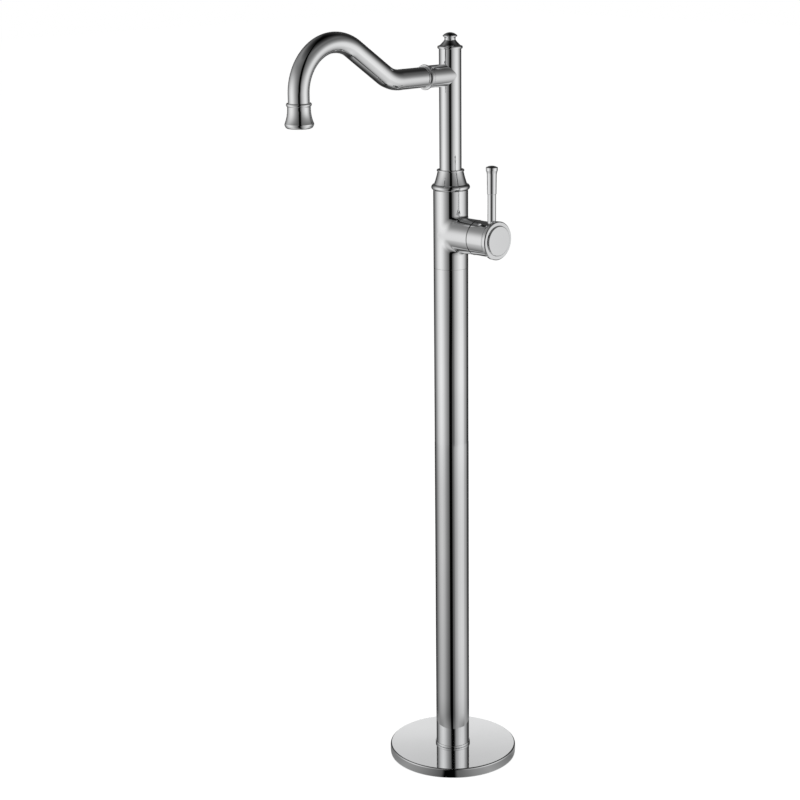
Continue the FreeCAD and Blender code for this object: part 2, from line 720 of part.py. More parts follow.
def dome_cap():
    """Spherical cap that screws into the branch and carries on its curve."""
    outer = CHAMBER_MOUTH_R - SNUG
    low = CHAMBER_MOUTH_X + SNUG
    skirt = 17.2
    inner = DOME_R - DOME_WALL
    return on_valve(lathe((skirt, low), (outer, low), (outer, on_sphere(DOME_R, outer)),
                          sphere_arc(DOME_R, outer, DOME_HOLE_R),
                          (DOME_HOLE_R, on_sphere(inner, DOME_HOLE_R)),
                          sphere_arc(inner, DOME_HOLE_R, skirt)))


# ---- cartridge: moving pieces -------------------------------------------------
def cross_pin(radius, length):
    """Bar along Y through the pivot, before laying down."""
    return Part.makeCylinder(radius, length, V(0, -length / 2, PIVOT_X), V(0, 1, 0))


def cartridge_turret():
    """Turns in the housing. Its slot lets the spindle tilt one way, with the lever's
    top going outwards."""
    drum = rod(TURRET_R, TURRET_X, LIP_X - FREE)
    body = drum.fuse(rod(LIP_R - FREE, LIP_X - OVERCUT, TURRET_TOP_X))
    slot_w = SPINDLE_W + 2 * FREE
    slot_low = -5.6
    slot_high = 9.0
    slot = Part.makeBox(slot_high - slot_low, slot_w, TURRET_TOP_X - TURRET_X + 2 * OVERCUT,
                        V(slot_low, -slot_w / 2, TURRET_X - OVERCUT))
    press = 0.02
    return on_valve(body.cut(slot).cut(cross_pin(PIN_R + press, 2 * TURRET_R + OVERCUT)))


def pivot_pin():
    return on_valve(cross_pin(PIN_R, 2 * (TURRET_R - 0.5)))


def disc_carrier():
    """Plate that the spindle's ball pushes to and fro."""
    hole_r = BALL_R + 0.4
    plate = rod(CARRIER_R, CARRIER_X, CARRIER_TOP_X)
    return on_valve(plate.cut(rod(hole_r, CARRIER_X - OVERCUT, CARRIER_TOP_X + OVERCUT)))


def moving_disc():
    """Ceramic disc with a mixing hollow in its sealing face."""
    low = DISC_X + DISC_T + FREE
    hollow_r = 5.0
    hollow_x = 4.0
    hollow_depth = 1.5
    plate = rod(CARRIER_R, low, CARRIER_X - RUN)
    return on_valve(plate.cut(rod(hollow_r, low - OVERCUT, low + hollow_depth, hollow_x, 0)))


def spindle():
    """Ball end, round neck, pin eye and a square shank that holds the hub."""
    half = SPINDLE_W / 2
    ball_x = PIVOT_X - BALL_ARM
    ball = Part.makeSphere(BALL_R, V(0, 0, ball_x))
    neck = rod(SPINDLE_NECK_R, ball_x, PIVOT_X)
    eye = rod(half, PIVOT_X - 3.6, PIVOT_X + 4.0)
    shank_x = PIVOT_X + 3.5
    shank = Part.makeBox(SPINDLE_W, SPINDLE_W, SPINDLE_END_X - shank_x, V(-half, -half, shank_x))
    body = ball.fuse([neck, eye, shank])
    body = body.cut(cross_pin(PIN_R + RUN, 2 * SPINDLE_W))
    thread_depth = 9.0
    return on_valve(body.cut(rod(SCREW_R + RUN, SPINDLE_END_X - thread_depth, SPINDLE_END_X + OVERCUT)))


# ---- handle -------------------------------------------------------------------
def handle_hub():
    """Round hub whose spherical hollow swings over the valve's dome. A fine line is
    turned into its rim and a square socket takes the spindle."""
    line_r = HUB_R - HUB_LINE_DEPTH
    line_slope = 0.2
    line_end = HUB_LINE_X + 0.9
    step_r = HUB_R - 1.2
    step_x = HUB_END - 0.8
    face = HUB_END - RUN
    hub = lathe((0, on_sphere(HUB_BORE_R, 0)),
                sphere_arc(HUB_BORE_R, 0, HUB_R),
                (HUB_R, HUB_LINE_X), (line_r, HUB_LINE_X + line_slope),
                (line_r, line_end - line_slope), (HUB_R, line_end),
                (HUB_R, step_x), (step_r, step_x), (step_r, face),
                (RECESS_R + SNUG, face), (RECESS_R + SNUG, RECESS_X), (0, RECESS_X))
    half = SPINDLE_W / 2 + RUN
    socket_l = 20.0
    socket = Part.makeBox(2 * half, 2 * half, socket_l, V(-half, -half, SPINDLE_END_X + SNUG - socket_l))
    hub = hub.cut(socket)
    hub = hub.cut(rod(SCREW_R + SNUG, SPINDLE_END_X - OVERCUT, RECESS_X + OVERCUT))
    hub = hub.cut(rod(SCREW_HEAD_R + SNUG, SCREW_HEAD_X, RECESS_X + OVERCUT))
    stud_hole = rod(STUD_R + RUN, VALVE_Z + STUD_LOW, VALVE_Z + HUB_R + OVERCUT, LEVER_X)
    return on_valve(hub).cut(stud_hole)


def handle_screw():
    """Cap screw with a hexagon socket that draws the hub onto the spindle."""
    shank_l = 8.0
    key_depth = 1.8
    head_top = SCREW_HEAD_X + SCREW_HEAD_T
    screw = rod(SCREW_R, SPINDLE_END_X - shank_l, SCREW_HEAD_X + OVERCUT)
    screw = screw.fuse(rod(SCREW_HEAD_R, SCREW_HEAD_X + RUN, head_top))
    corners = [V(SCREW_KEY_R * math.cos(math.radians(60 * i)), SCREW_KEY_R * math.sin(math.radians(60 * i)),
                 head_top - key_depth) for i in range(7)]
    key = Part.Face(Part.makePolygon(corners)).extrude(V(0, 0, key_depth + OVERCUT))
    return on_valve(screw.cut(key))


def handle_disc():
    """Front disc with a bevelled rim, a boss in the hub and a seat for the cap."""
    boss_x = RECESS_X + SNUG
    peg_hole_r = CAP_PEG_R + SNUG
    seat_x = CAP_X - RUN
    bevel = 0.1
    rim_low = (DISC_R - 1.0, HUB_END)
    rim_side = (DISC_R, HUB_END + 1.4)
    return on_valve(lathe((peg_hole_r, boss_x), (RECESS_R, boss_x), (RECESS_R, HUB_END),
                          rim_low, (rim_side, 0.36),
                          (DISC_R, DISC_END - DISC_BEVEL), (DISC_R - DISC_BEVEL, DISC_END),
                          (CAP_RECESS_R + bevel, DISC_END), (CAP_RECESS_R, DISC_END - bevel),
                          (CAP_RECESS_R, seat_x), (peg_hole_r, seat_x)))


def index_cap():
    """Plain round cap with a bevelled edge that hides the screw, with a peg behind."""
    back = CAP_X - CAP_PEG_L
    face = DISC_END + CAP_PROUD
    return on_valve(lathe((0, back), (CAP_PEG_R, back), (CAP_PEG_R, CAP_X), (CAP_R, CAP_X),
                          (CAP_R, face - CAP_BEVEL), (CAP_R - CAP_BEVEL, face), (0, face)))


# ---- lever --------------------------------------------------------------------
def on_lever(shape):
    """Stand a shape made along Z, from the valve's axis up, at the lever's place."""
    moved = shape.copy()
    moved.translate(V(LEVER_X, 0, VALVE_Z))
    return moved


def lever_stem():
    """Round stem with a saddle foot on the hub, a stud below and a tip in the grip."""
    stem = rod(STEM_R, STEM_FOOT - 2.0, GRIP_LOW)
    tip = rod(STUD_R, GRIP_LOW, GRIP_LOW + GRIP_TIP_L)
    hub_space = on_valve(rod(HUB_R + RUN, PIVOT_X, HUB_END))
    stem = on_lever(stem.fuse(tip)).cut(hub_space)
    stud = rod(STUD_R, STUD_LOW + 0.5, STEM_FOOT + 3.0)
    return stem.fuse(on_lever(stud))


def lever_grip():
    """Tapered sleeve with a flared end and a domed top."""
    low = GRIP_LOW + RUN
    bore = STUD_R + RUN
    bore_top = GRIP_LOW + GRIP_TIP_L + FREE
    foot_r = 5.85
    neck = (6.1, LEVER_TOP - 11.0)
    flare = (7.4, LEVER_TOP - 5.9)
    rim = (7.45, LEVER_TOP - 2.7)
    shoulder = (6.5, LEVER_TOP - 1.6)
    return on_lever(lathe((bore, low), (foot_r - 0.35, low), (foot_r, low + 0.5),
                          neck, (flare, -0.23), rim, (shoulder, 0.33),
                          crown(*shoulder, LEVER_TOP),
                          (0, bore_top), (bore, bore_top)))


# ---- write every sub-part -----------------------------------------------------
save("floor_plate", floor_plate())
save("column_spigot", column_spigot())
save("base_cover", base_cover())
save("foot_ring", foot_ring())
save("column_tube", column_tube())
save("column_grub_screws", column_grub_screws())
save("inlet_manifold", inlet_manifold())
save("manifold_clip", manifold_clip())
for supply, supply_y in (("hot", -HOSE_Y), ("cold", HOSE_Y)):
    save(supply + "_hose", hose(supply_y))
    save(supply + "_hose_fittings", hose_fittings(supply_y))
save("valve_body", valve_body())
save("swivel_collar", swivel_collar())
save("swivel_bush", swivel_bush())
save("thrust_washer", thrust_washer())
save("cartridge_seals", cartridge_seals())
save("cartridge_base", cartridge_base())
save("fixed_disc", fixed_disc())
save("cartridge_housing", cartridge_housing())
save("cartridge_nut", cartridge_nut())
save("dome_cap", dome_cap())
save("cartridge_turret", cartridge_turret())
save("pivot_pin", pivot_pin())
save("disc_carrier", disc_carrier())
save("moving_disc", moving_disc())
save("spindle", spindle())
save("handle_hub", handle_hub())
save("handle_screw", handle_screw())
save("handle_disc", handle_disc())
save("index_cap", index_cap())
save("lever_stem", lever_stem())
save("lever_grip", lever_grip())
save("riser_foot", riser_foot())
save("foot_orings", foot_orings())
save("riser_tube", riser_tube())
save("finial", finial())
save("finial_oring", finial_oring())
save("spout_socket", spout_socket())
save("spout_flange", spout_flange())
save("spout_tube", spout_tube())
save("outlet_bell", outlet_bell())
save("aerator_housing", aerator_housing())
save("aerator_core", aerator_core())
save("aerator_screen", aerator_screen())
save("aerator_washer", aerator_washer())
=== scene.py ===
# %% [markdown]
# # A floor standing bath filler in polished chrome
# The tap is a tall column on a round floor plate, with a side valve, a pin lever and a swan-neck
# spout. Nearly all of it is mirror-bright chrome. A mirror has no look of its own: it shows what
# stands round it. So this lesson has two halves, clean shapes with softly broken edges, and a
# small studio whose white panels and black flags draw the stripes on the metal.

import json
import math

import bpy
from mathutils import Matrix, Vector


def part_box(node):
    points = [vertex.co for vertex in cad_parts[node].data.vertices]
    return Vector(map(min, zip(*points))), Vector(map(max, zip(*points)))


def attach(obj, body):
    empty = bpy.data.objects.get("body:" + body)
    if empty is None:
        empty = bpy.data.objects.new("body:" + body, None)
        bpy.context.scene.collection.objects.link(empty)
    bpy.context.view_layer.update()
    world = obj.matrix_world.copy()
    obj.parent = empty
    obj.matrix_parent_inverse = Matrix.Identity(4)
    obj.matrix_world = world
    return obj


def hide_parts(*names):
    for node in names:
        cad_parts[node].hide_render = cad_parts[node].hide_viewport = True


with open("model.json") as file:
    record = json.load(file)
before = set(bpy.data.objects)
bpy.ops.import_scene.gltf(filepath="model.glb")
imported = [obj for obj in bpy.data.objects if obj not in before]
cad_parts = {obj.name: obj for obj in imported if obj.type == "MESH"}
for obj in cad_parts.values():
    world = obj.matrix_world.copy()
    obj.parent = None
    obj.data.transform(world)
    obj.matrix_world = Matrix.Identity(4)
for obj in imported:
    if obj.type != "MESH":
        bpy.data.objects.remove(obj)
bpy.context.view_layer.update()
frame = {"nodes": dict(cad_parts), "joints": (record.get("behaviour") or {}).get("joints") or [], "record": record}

# %% [markdown]
# ## Sizes come from the construction
# Every piece has to sit exactly on what carries it. Typing its numbers twice invites mistakes, so
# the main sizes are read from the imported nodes' boxes and from the joints. They are kept in
# millimetres, in which a tap is drawn, and scaled once, when a mesh is made.

# %% Read the sizes
MM = 0.001


def corners(node):
    """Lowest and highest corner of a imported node, in millimetres."""
    low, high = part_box(node)
    return low / MM, high / MM


def half_width(node, axis):
    """Half of a node's size along an axis: its radius, for a round one."""
    low, high = corners(node)
    return (high[axis] - low[axis]) / 2


def middle(node, axis):
    low, high = corners(node)
    return (high[axis] + low[axis]) / 2


def bottom(node):
    return corners(node)[0].z


def top(node):
    return corners(node)[1].z


X_AXIS, Y_AXIS, Z_AXIS = range(3)
joints = {joint["name"]: joint for joint in frame["joints"]}
PIVOT_X, _, VALVE_Z = (c / MM for c in joints["handle_tilt"]["pos_m"])
COLUMN_R = half_width("column_tube", X_AXIS)
RISER_R = half_width("riser_tube", X_AXIS)
ARM_Z = middle("spout_flange", Z_AXIS)
OUTLET_Y = middle("outlet_bell", Y_AXIS)
SNUG = 0.1      # gap between pieces of one body
RUN = 0.05      # gap of a running fit
FREE = 0.3      # gap between moving bodies
print("column", round(2 * COLUMN_R, 2), "mm, riser", round(2 * RISER_R, 2), "mm, outlet at y",
      round(OUTLET_Y, 1), "mm")

# %% [markdown]
# ## The camera
# The photograph was taken with a long lens from a little above the tap, a quarter turn between
# its spout and its lever. The camera's height, distance and tilt were worked out by fitting
# circles of known size, such as the floor cover's rim, to the outline seen in the picture.

# %% Place the camera
CAMERA_ROUND = 45.0          # degrees round the column, from looking along +Y
CAMERA_DISTANCE = 2.3601     # metres from the column's axis
CAMERA_HEIGHT = 1.1340
CAMERA_DOWN = 15.106         # degrees
CAMERA_PAN = -1.625          # the column stands a little right of the middle
CAMERA_ROLL = -0.654
LENS = 84.57                 # millimetres, on a 36 mm sensor


def link_object(name, data):
    """A new object in the scene."""
    obj = bpy.data.objects.new(name, data)
    bpy.context.scene.collection.objects.link(obj)
    return obj


def rotation(degrees, axis):
    return Matrix.Rotation(math.radians(degrees), 4, axis)


def make_camera():
    data = bpy.data.cameras.new("camera")
    data.lens = LENS
    data.sensor_width = 36.0
    data.clip_start = 0.05
    camera = link_object("camera", data)
    place = Matrix.Translation((0, -CAMERA_DISTANCE, CAMERA_HEIGHT))
    aim = rotation(-CAMERA_PAN, "Z") @ rotation(90 - CAMERA_DOWN, "X") @ rotation(CAMERA_ROLL, "Z")
    camera.matrix_world = rotation(CAMERA_ROUND, "Z") @ place @ aim
    bpy.context.scene.camera = camera
    return camera


camera = make_camera()
print("camera at", [round(c, 3) for c in camera.matrix_world.translation])

# %% [markdown]
# ## Small helpers for nodes
# A material is a little machine of nodes. One helper adds a node and gives each of its inputs a
# plain value or joins another node's output to it, so that a recipe reads from top to bottom. A
# second makes a group, whose named inputs and outputs can be used again in several materials.

# %% Node helpers


def plug(tree, socket, given):
    """Set an input to a plain value, or join an output to it."""
    if isinstance(given, bpy.types.NodeSocket):
        tree.links.new(given, socket)
    else:
        socket.default_value = given


def add_node(tree, kind, inputs=None, **settings):
    """Add a node with its properties, and plug in its named or numbered inputs."""
    node = tree.nodes.new(kind)
    for key, value in settings.items():
        setattr(node, key, value)
    for key, value in (inputs or {}).items():
        plug(tree, node.inputs[key], value)
    return node


def maths(tree, operation, *terms):
    """The output of a Math node. Each term is a number or an output."""
    return add_node(tree, "ShaderNodeMath", dict(enumerate(terms)), operation=operation).outputs["Value"]


def noise(tree, place, scale, detail, roughness=0.5):
    """The output of a Noise Texture."""
    inputs = {"Vector": place, "Scale": scale, "Detail": detail, "Roughness": roughness}
    return add_node(tree, "ShaderNodeTexNoise", inputs).outputs["Fac"]


def mapped(tree, value, from_min, from_max, to_min=0.0, to_max=1.0, kind="LINEAR"):
    """The output of a Map Range node: a value carried from one range to another."""
    inputs = {"Value": value, "From Min": from_min, "From Max": from_max, "To Min": to_min, "To Max": to_max}
    return add_node(tree, "ShaderNodeMapRange", inputs, interpolation_type=kind).outputs["Result"]


def new_group(name, kind, inputs, outputs):
    """A node group with named inputs (name, type, value) and outputs (name, type). Gives the
    tree, what it is given and where its results go."""
    tree = bpy.data.node_groups.new(name, kind)
    for label, sort in outputs:
        tree.interface.new_socket(label, in_out="OUTPUT", socket_type="NodeSocket" + sort)
    for label, sort, value in inputs:
        socket = tree.interface.new_socket(label, in_out="INPUT", socket_type="NodeSocket" + sort)
        if value is not None:
            socket.default_value = value
    return tree, tree.nodes.new("NodeGroupInput").outputs, tree.nodes.new("NodeGroupOutput").inputs


print("node helpers ready")

# %% [markdown]
# ## Two surface effects that several finishes share
# *Handled* metal is never equally bright all over: wiping leaves faint broad patches and fine
# hairlines. *Turned* metal keeps the rings that the lathe tool left. Both are made once, as
# groups, and each finish places them with its own strength. They read Object coordinates, so the
# pattern is fixed to the piece in real metres.

# %% Group: wiped, for roughness and tone


def make_wiped_group():
    inputs = [("Patch Scale", "Float", 18.0), ("Rough Low", "Float", 0.03), ("Rough High", "Float", 0.08),
              ("Tone Low", "Float", 0.94), ("Hairline Scale", "Float", 900.0)]
    outputs = [("Roughness", "Float"), ("Tone", "Float"), ("Height", "Float")]
    tree, given, result = new_group("wiped", "ShaderNodeTree", inputs, outputs)
    place = add_node(tree, "ShaderNodeTexCoord").outputs["Object"]
    patches = noise(tree, place, given["Patch Scale"], 3.0, 0.55)
    plug(tree, result["Roughness"], mapped(tree, patches, 0.35, 0.7, given["Rough Low"], given["Rough High"]))
    plug(tree, result["Tone"], mapped(tree, patches, 0.7, 0.3, given["Tone Low"]))
    plug(tree, result["Height"], noise(tree, place, given["Hairline Scale"], 2.0))
    return tree


wiped = make_wiped_group()
print("group", wiped.name, "gives", [s.name for s in wiped.interface.items_tree if s.in_out == "OUTPUT"])

# %% Group: turned, fine rings along the axis of a bar


def make_turned_group():
    inputs = [("Rings", "Float", 2200.0), ("Across", "Float", 60.0), ("Tone Low", "Float", 0.8)]
    outputs = [("Tone", "Float"), ("Height", "Float")]
    tree, given, result = new_group("turned_rings", "ShaderNodeTree", inputs, outputs)
    place = add_node(tree, "ShaderNodeTexCoord").outputs["Object"]
    parts = add_node(tree, "ShaderNodeSeparateXYZ", {"Vector": place}).outputs
    scaled = {axis: maths(tree, "MULTIPLY", parts[axis], given[amount])
              for axis, amount in (("X", "Across"), ("Y", "Across"), ("Z", "Rings"))}
    stretched = add_node(tree, "ShaderNodeCombineXYZ", scaled)
    rings = noise(tree, stretched.outputs["Vector"], 1.0, 2.0)
    plug(tree, result["Tone"], mapped(tree, rings, 0.3, 0.7, given["Tone Low"]))
    plug(tree, result["Height"], rings)
    return tree


turned_rings = make_turned_group()
print("group", turned_rings.name, "ready")

# %% [markdown]
# ## The finishes
# Chrome plate is a metal shader with very low roughness. Brass and stainless pieces inside the
# tap are left as the lathe made them. Rubber, moulded plastic and ceramic are dielectrics. All
# take their patches, rings and grain from the groups above, each with its own values.

# %% Helper: a finish from a colour, a tone, a roughness and a height


def make_finish(name, colour, metallic, wipe, bump, rings=None):
    """A material whose tone, roughness and height come from the groups. wipe holds the values of
    the wiped group, rings those of the turned one, and bump is (strength, metres)."""
    material = bpy.data.materials.new(name)
    material.use_nodes = True
    tree = material.node_tree
    shader = tree.nodes["Principled BSDF"]
    skin = relief = add_node(tree, "ShaderNodeGroup", wipe, node_tree=wiped)
    if rings:
        relief = add_node(tree, "ShaderNodeGroup", {"Rings": rings}, node_tree=turned_rings)
    layers = {"Factor": 1.0, "A": (*colour, 1.0), "B": relief.outputs["Tone"]}
    tinted = add_node(tree, "ShaderNodeMix", layers, data_type="RGBA", blend_type="MULTIPLY")
    raised = add_node(tree, "ShaderNodeBump", {"Strength": bump[0], "Distance": bump[1],
                                               "Height": relief.outputs["Height"]})
    for label, value in (("Metallic", metallic), ("Base Color", tinted.outputs["Result"]),
                         ("Roughness", skin.outputs["Roughness"]), ("Normal", raised.outputs["Normal"])):
        plug(tree, shader.inputs[label], value)
    return material


print("every finish is a colour, a metalness, a wipe and a bump")

# %% Polished chrome


def make_chrome(name, colour, rough_high):
    wipe = {"Patch Scale": 14.0, "Rough Low": 0.025, "Rough High": rough_high, "Tone Low": 0.965,
            "Hairline Scale": 500.0}
    return make_finish(name, colour, 1.0, wipe, (0.05, 0.00002))


chrome = make_chrome("chrome_plate", (0.895, 0.90, 0.905), 0.06)
cover_shade_chrome = make_chrome("chrome_plate_with_painted_shade", (0.785, 0.79, 0.795), 0.07)    # darker colour is painted shade; a little rougher from wear
print(chrome.name, "has", len(chrome.node_tree.nodes), "nodes")

# %% Turned brass and stainless steel


def make_bare_metal(name, colour, rough, rings):
    wipe = {"Patch Scale": 30.0, "Rough Low": rough, "Rough High": rough + 0.14}
    return make_finish(name, colour, 1.0, wipe, (0.4, 0.00005), rings)


brass = make_bare_metal("turned_brass", (0.78, 0.60, 0.31), 0.24, 2600.0)
steel = make_bare_metal("bare_stainless", (0.66, 0.67, 0.68), 0.22, 3200.0)
print("bare metals:", brass.name, steel.name)

# %% Rubber, plastics and ceramic


def make_moulded(name, colour, rough, grain_scale, grain_height, tone_low):
    wipe = {"Patch Scale": 40.0, "Rough Low": rough, "Rough High": rough + 0.12, "Tone Low": tone_low,
            "Hairline Scale": grain_scale}
    return make_finish(name, colour, 0.0, wipe, (0.5, grain_height))


finishes = {
    "polished_chrome": chrome,
    "satin_brass": brass,
    "stainless_steel": steel,
    "black_rubber": make_moulded("seal_rubber", (0.025, 0.025, 0.027), 0.55, 1500.0, 0.00006, 0.75),
    "hose_rubber": make_moulded("hose_skin", (0.09, 0.09, 0.095), 0.5, 1200.0, 0.00005, 0.8),
    "cartridge_plastic": make_moulded("pale_moulding", (0.80, 0.80, 0.75), 0.38, 2400.0, 0.00002, 0.9),
    "turret_plastic": make_moulded("blue_moulding", (0.10, 0.18, 0.42), 0.36, 2400.0, 0.00002, 0.88),
    "bearing_plastic": make_moulded("white_bearing", (0.86, 0.86, 0.84), 0.42, 2000.0, 0.00002, 0.93),
    "aerator_plastic": make_moulded("grey_moulding", (0.55, 0.56, 0.57), 0.32, 2400.0, 0.00001, 0.9),
    "disc_ceramic": make_moulded("lapped_ceramic", (0.88, 0.87, 0.82), 0.16, 3000.0, 0.000005, 0.96),
}
print(len(finishes), "finishes")

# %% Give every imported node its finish
slots = {part["node"]: part["material_slot"] for part in frame["record"]["subparts"]}
for name, slot in slots.items():
    materials = frame["nodes"][name].data.materials
    materials.clear()
    materials.append(finishes[slot])
print(len(slots), "nodes painted")

# %% [markdown]
# ## Turned pieces and their outlines
# Most of this tap comes off a lathe. A turned piece is fully told by its outline: points (r, z)
# joined by straight sides, or by arcs whose middle stands off the chord by a small *bow*. Real
# machined edges are never knife sharp. A polisher's wheel breaks them by a tenth or two of a
# millimetre, and exactly there a mirror surface shows its bright and dark hairlines. So every
# corner of an outline gets a tiny rounding before it is turned.

# %% Outline tools
SOFT = 0.18        # how far polishing breaks a sharp edge, millimetres
FINE, FINER, FINEST = 0.15, 0.12, 0.1     # and the edges of smaller pieces
ARC_STEP = 6.0     # degrees between points of an arc
SHARP = 8.0        # corners flatter than this many degrees are left alone
MOST_CUT = 0.35    # share of a side that a rounded corner may take
TINY = 1e-6        # a radius or a bow below this counts as nothing


def bow_of(radius, start, end):
    """How far the middle of an arc of that radius stands off its chord."""
    return radius - math.sqrt(radius ** 2 - (math.dist(start, end) / 2) ** 2)


def round_over(r, z, size):
    """Steps up an outer wall and over its rounded corner at (r, z)."""
    low, high = (r, z - size), (r - size, z)
    return [low, (high, bow_of(size, low, high))]


def groove(r, z, width, depth, slope):
    """Steps up an outer wall through a groove with sloping sides that starts at height z."""
    return [(r, z), (r - depth, z + slope), (r - depth, z + width - slope), (r, z + width)]


def crown(from_r, from_z, top_z):
    """Step that closes an outline with a shallow dome on the axis."""
    rise = top_z - from_z
    radius = (from_r ** 2 + rise ** 2) / (2 * rise)
    return ((0, top_z), bow_of(radius, (from_r, from_z), (0, top_z)))


def side_points(start, end, bow):
    """Points of one side of an outline, each with the direction its surface faces."""
    a, b = Vector(start), Vector(end)
    along = (b - a).normalized()
    out = Vector((along.y, -along.x))
    if abs(bow) < TINY:
        return [(a, out), (b, out)]
    swell = 1 if bow > 0 else -1
    chord = (b - a).length
    radius = (chord ** 2 / 4 + bow ** 2) / (2 * abs(bow))
    half = math.asin(min(1.0, chord / (2 * radius)))
    centre = (a + b) / 2 + out * (bow - swell * radius)
    count = max(4, math.ceil(math.degrees(2 * half) / ARC_STEP))
    points = []
    for i in range(count + 1):
        turn = half * (2 * i / count - 1)
        ray = out * (swell * math.cos(turn)) + along * math.sin(turn)
        points.append((centre + ray * radius, ray * swell))
    return points


def trimmed(points, cut):
    """The same side without its first stretch of that length."""
    left = cut
    for i in range(len(points) - 1):
        (a, face_a), (b, face_b) = points[i], points[i + 1]
        length = (b - a).length
        if length > left:
            share = left / length
            return [(a.lerp(b, share), face_a.lerp(face_b, share).normalized())] + points[i + 1:]
        left -= length
    return points[-1:]


def corner_points(before, corner, after):
    """Three points of the small rounding between two trimmed sides."""
    points = []
    for share in (0.25, 0.5, 0.75):
        early, late = before[0].lerp(corner, share), corner.lerp(after[0], share)
        points.append((early.lerp(late, share), before[1].lerp(after[1], share).normalized()))
    return points


def outline(start, *steps, soft=SOFT):
    """Outline with softened corners: a list of (point, facing direction). It goes back to its
    start. A side along the axis is left out, so one that starts on the axis ends on it."""
    sides = []
    here = start
    for step in list(steps) + [start]:
        end, bow = step if isinstance(step[0], tuple) else (step, 0.0)
        if max(here[0], end[0]) > TINY:
            sides.append(side_points(here, end, bow))
        here = end
    closed = start[0] > TINY
    count = len(sides)
    sharp = []          # is the corner at the end of each side a sharp one
    for i in range(count):
        bend = math.degrees(sides[i][-1][1].angle(sides[(i + 1) % count][0][1]))
        sharp.append(bend > SHARP and (closed or i < count - 1))
    cut_sides = []
    for i, side in enumerate(sides):
        length = sum((q[0] - p[0]).length for p, q in zip(side, side[1:]))
        cut = min(soft, MOST_CUT * length)
        if sharp[i - 1]:
            side = trimmed(side, cut)
        if sharp[i]:
            side = trimmed(side[::-1], cut)[::-1]
        cut_sides.append(side)
    result = []
    for i, side in enumerate(cut_sides):
        following = cut_sides[(i + 1) % count]
        if sharp[i]:
            result += side + corner_points(side[-1], sides[i][-1][0], following[0])
        elif closed or i < count - 1:
            following[0] = (following[0][0], (side[-1][1] + following[0][1]).normalized())
            result += side[:-1]
        else:
            result += side
    return result


test = outline((1, 0), (5, 0), *round_over(5, 4, 1), (1, 4))
print("a small ring's outline has", len(test), "points")

# %% Turning an outline and placing the piece
UPRIGHT = Matrix.Identity(4)
ALONG_VALVE = Matrix(((0, 0, 1, 0), (0, 1, 0, 0), (-1, 0, 0, VALVE_Z), (0, 0, 0, 1)))
ALONG_ARM = Matrix(((1, 0, 0, 0), (0, 0, -1, 0), (0, 1, 0, ARM_Z), (0, 0, 0, 1)))
AT_OUTLET = Matrix.Translation((0, OUTLET_Y, 0))
SADDLE_HEIGHT = 0.5          # what lies this close to a saddle's tube is wrapped


def turns(count):
    """Cosine and sine of evenly spaced angles, once round."""
    angles = [2 * math.pi * i / count for i in range(count)]
    return [(math.cos(angle), math.sin(angle)) for angle in angles]


def strips(rows):
    """Faces between neighbouring rows of vertex numbers. Corners that fall together are joined."""
    faces = []
    for near, far in zip(rows, rows[1:]):
        for corner in zip(near, near[1:] + near[:1], far[1:] + far[:1], far):
            face = list(dict.fromkeys(corner))
            if len(face) > 2:
                faces.append(face)
    return faces


def turned(points, count):
    """Vertices, their directions and the faces of an outline turned about Z."""
    verts, facings, rings = [], [], []
    for (r, z), (out, up) in points:
        if r < TINY:
            rings.append([len(verts)] * count)
            verts.append(Vector((0, 0, z)))
            facings.append(Vector((0, 0, math.copysign(1, up))))
            continue
        rings.append(list(range(len(verts), len(verts) + count)))
        for c, s in turns(count):
            verts.append(Vector((r * c, r * s, z)))
            facings.append(Vector((out * c, out * s, up)))
    closed = min(points[0][0].x, points[-1][0].x) > TINY
    return verts, facings, strips(rings + rings[:1] if closed else rings)


def make_piece(node, body, verts, facings, faces, place=UPRIGHT, finish=None):
    """Make the finished mesh of a node, in its body's frame and at its place in the part."""
    mesh = bpy.data.meshes.new("finished_" + node)
    mesh.from_pydata([place @ v * MM for v in verts], [], faces)
    mesh.polygons.foreach_set("use_smooth", [True] * len(mesh.polygons))
    spin = place.to_3x3()
    mesh.normals_split_custom_set_from_vertices([(spin @ f).normalized() for f in facings])
    finish_piece(link_object("finished_" + node, mesh), node, body, finish)


def finish_piece(obj, node, body, finish=None):
    """Give a piece its node's material, let it ride on its body and hide the plain node."""
    slot = slots[node]
    obj.data.materials.clear()
    obj.data.materials.append(finish or finishes[slot])
    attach(obj, body)
    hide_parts(node)
    low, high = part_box(node)
    over = max(max(low[i] - v.co[i], v.co[i] - high[i]) for v in obj.data.vertices for i in range(3))
    print(obj.name, len(obj.data.polygons), "faces, over its node's box by", round(over / MM, 3), "mm")


def lathe(node, body, count, *steps, soft=SOFT, seat=None, place=UPRIGHT, finish=None):
    """Turn an outline in count steps and make it the finished piece of a node. A seat is the
    radius of a tube that its low end is wrapped round, and the axis to that tube's sides."""
    verts, facings, faces = turned(outline(*steps, soft=soft), count)
    if seat:
        radius, aside = seat
        for v in verts:
            if v.z < radius + SADDLE_HEIGHT:
                v.z += math.sqrt(max(0.0, radius ** 2 - v[aside] ** 2)) - radius
    make_piece(node, body, verts, facings, faces, place, finish)


print("the lathe is ready")
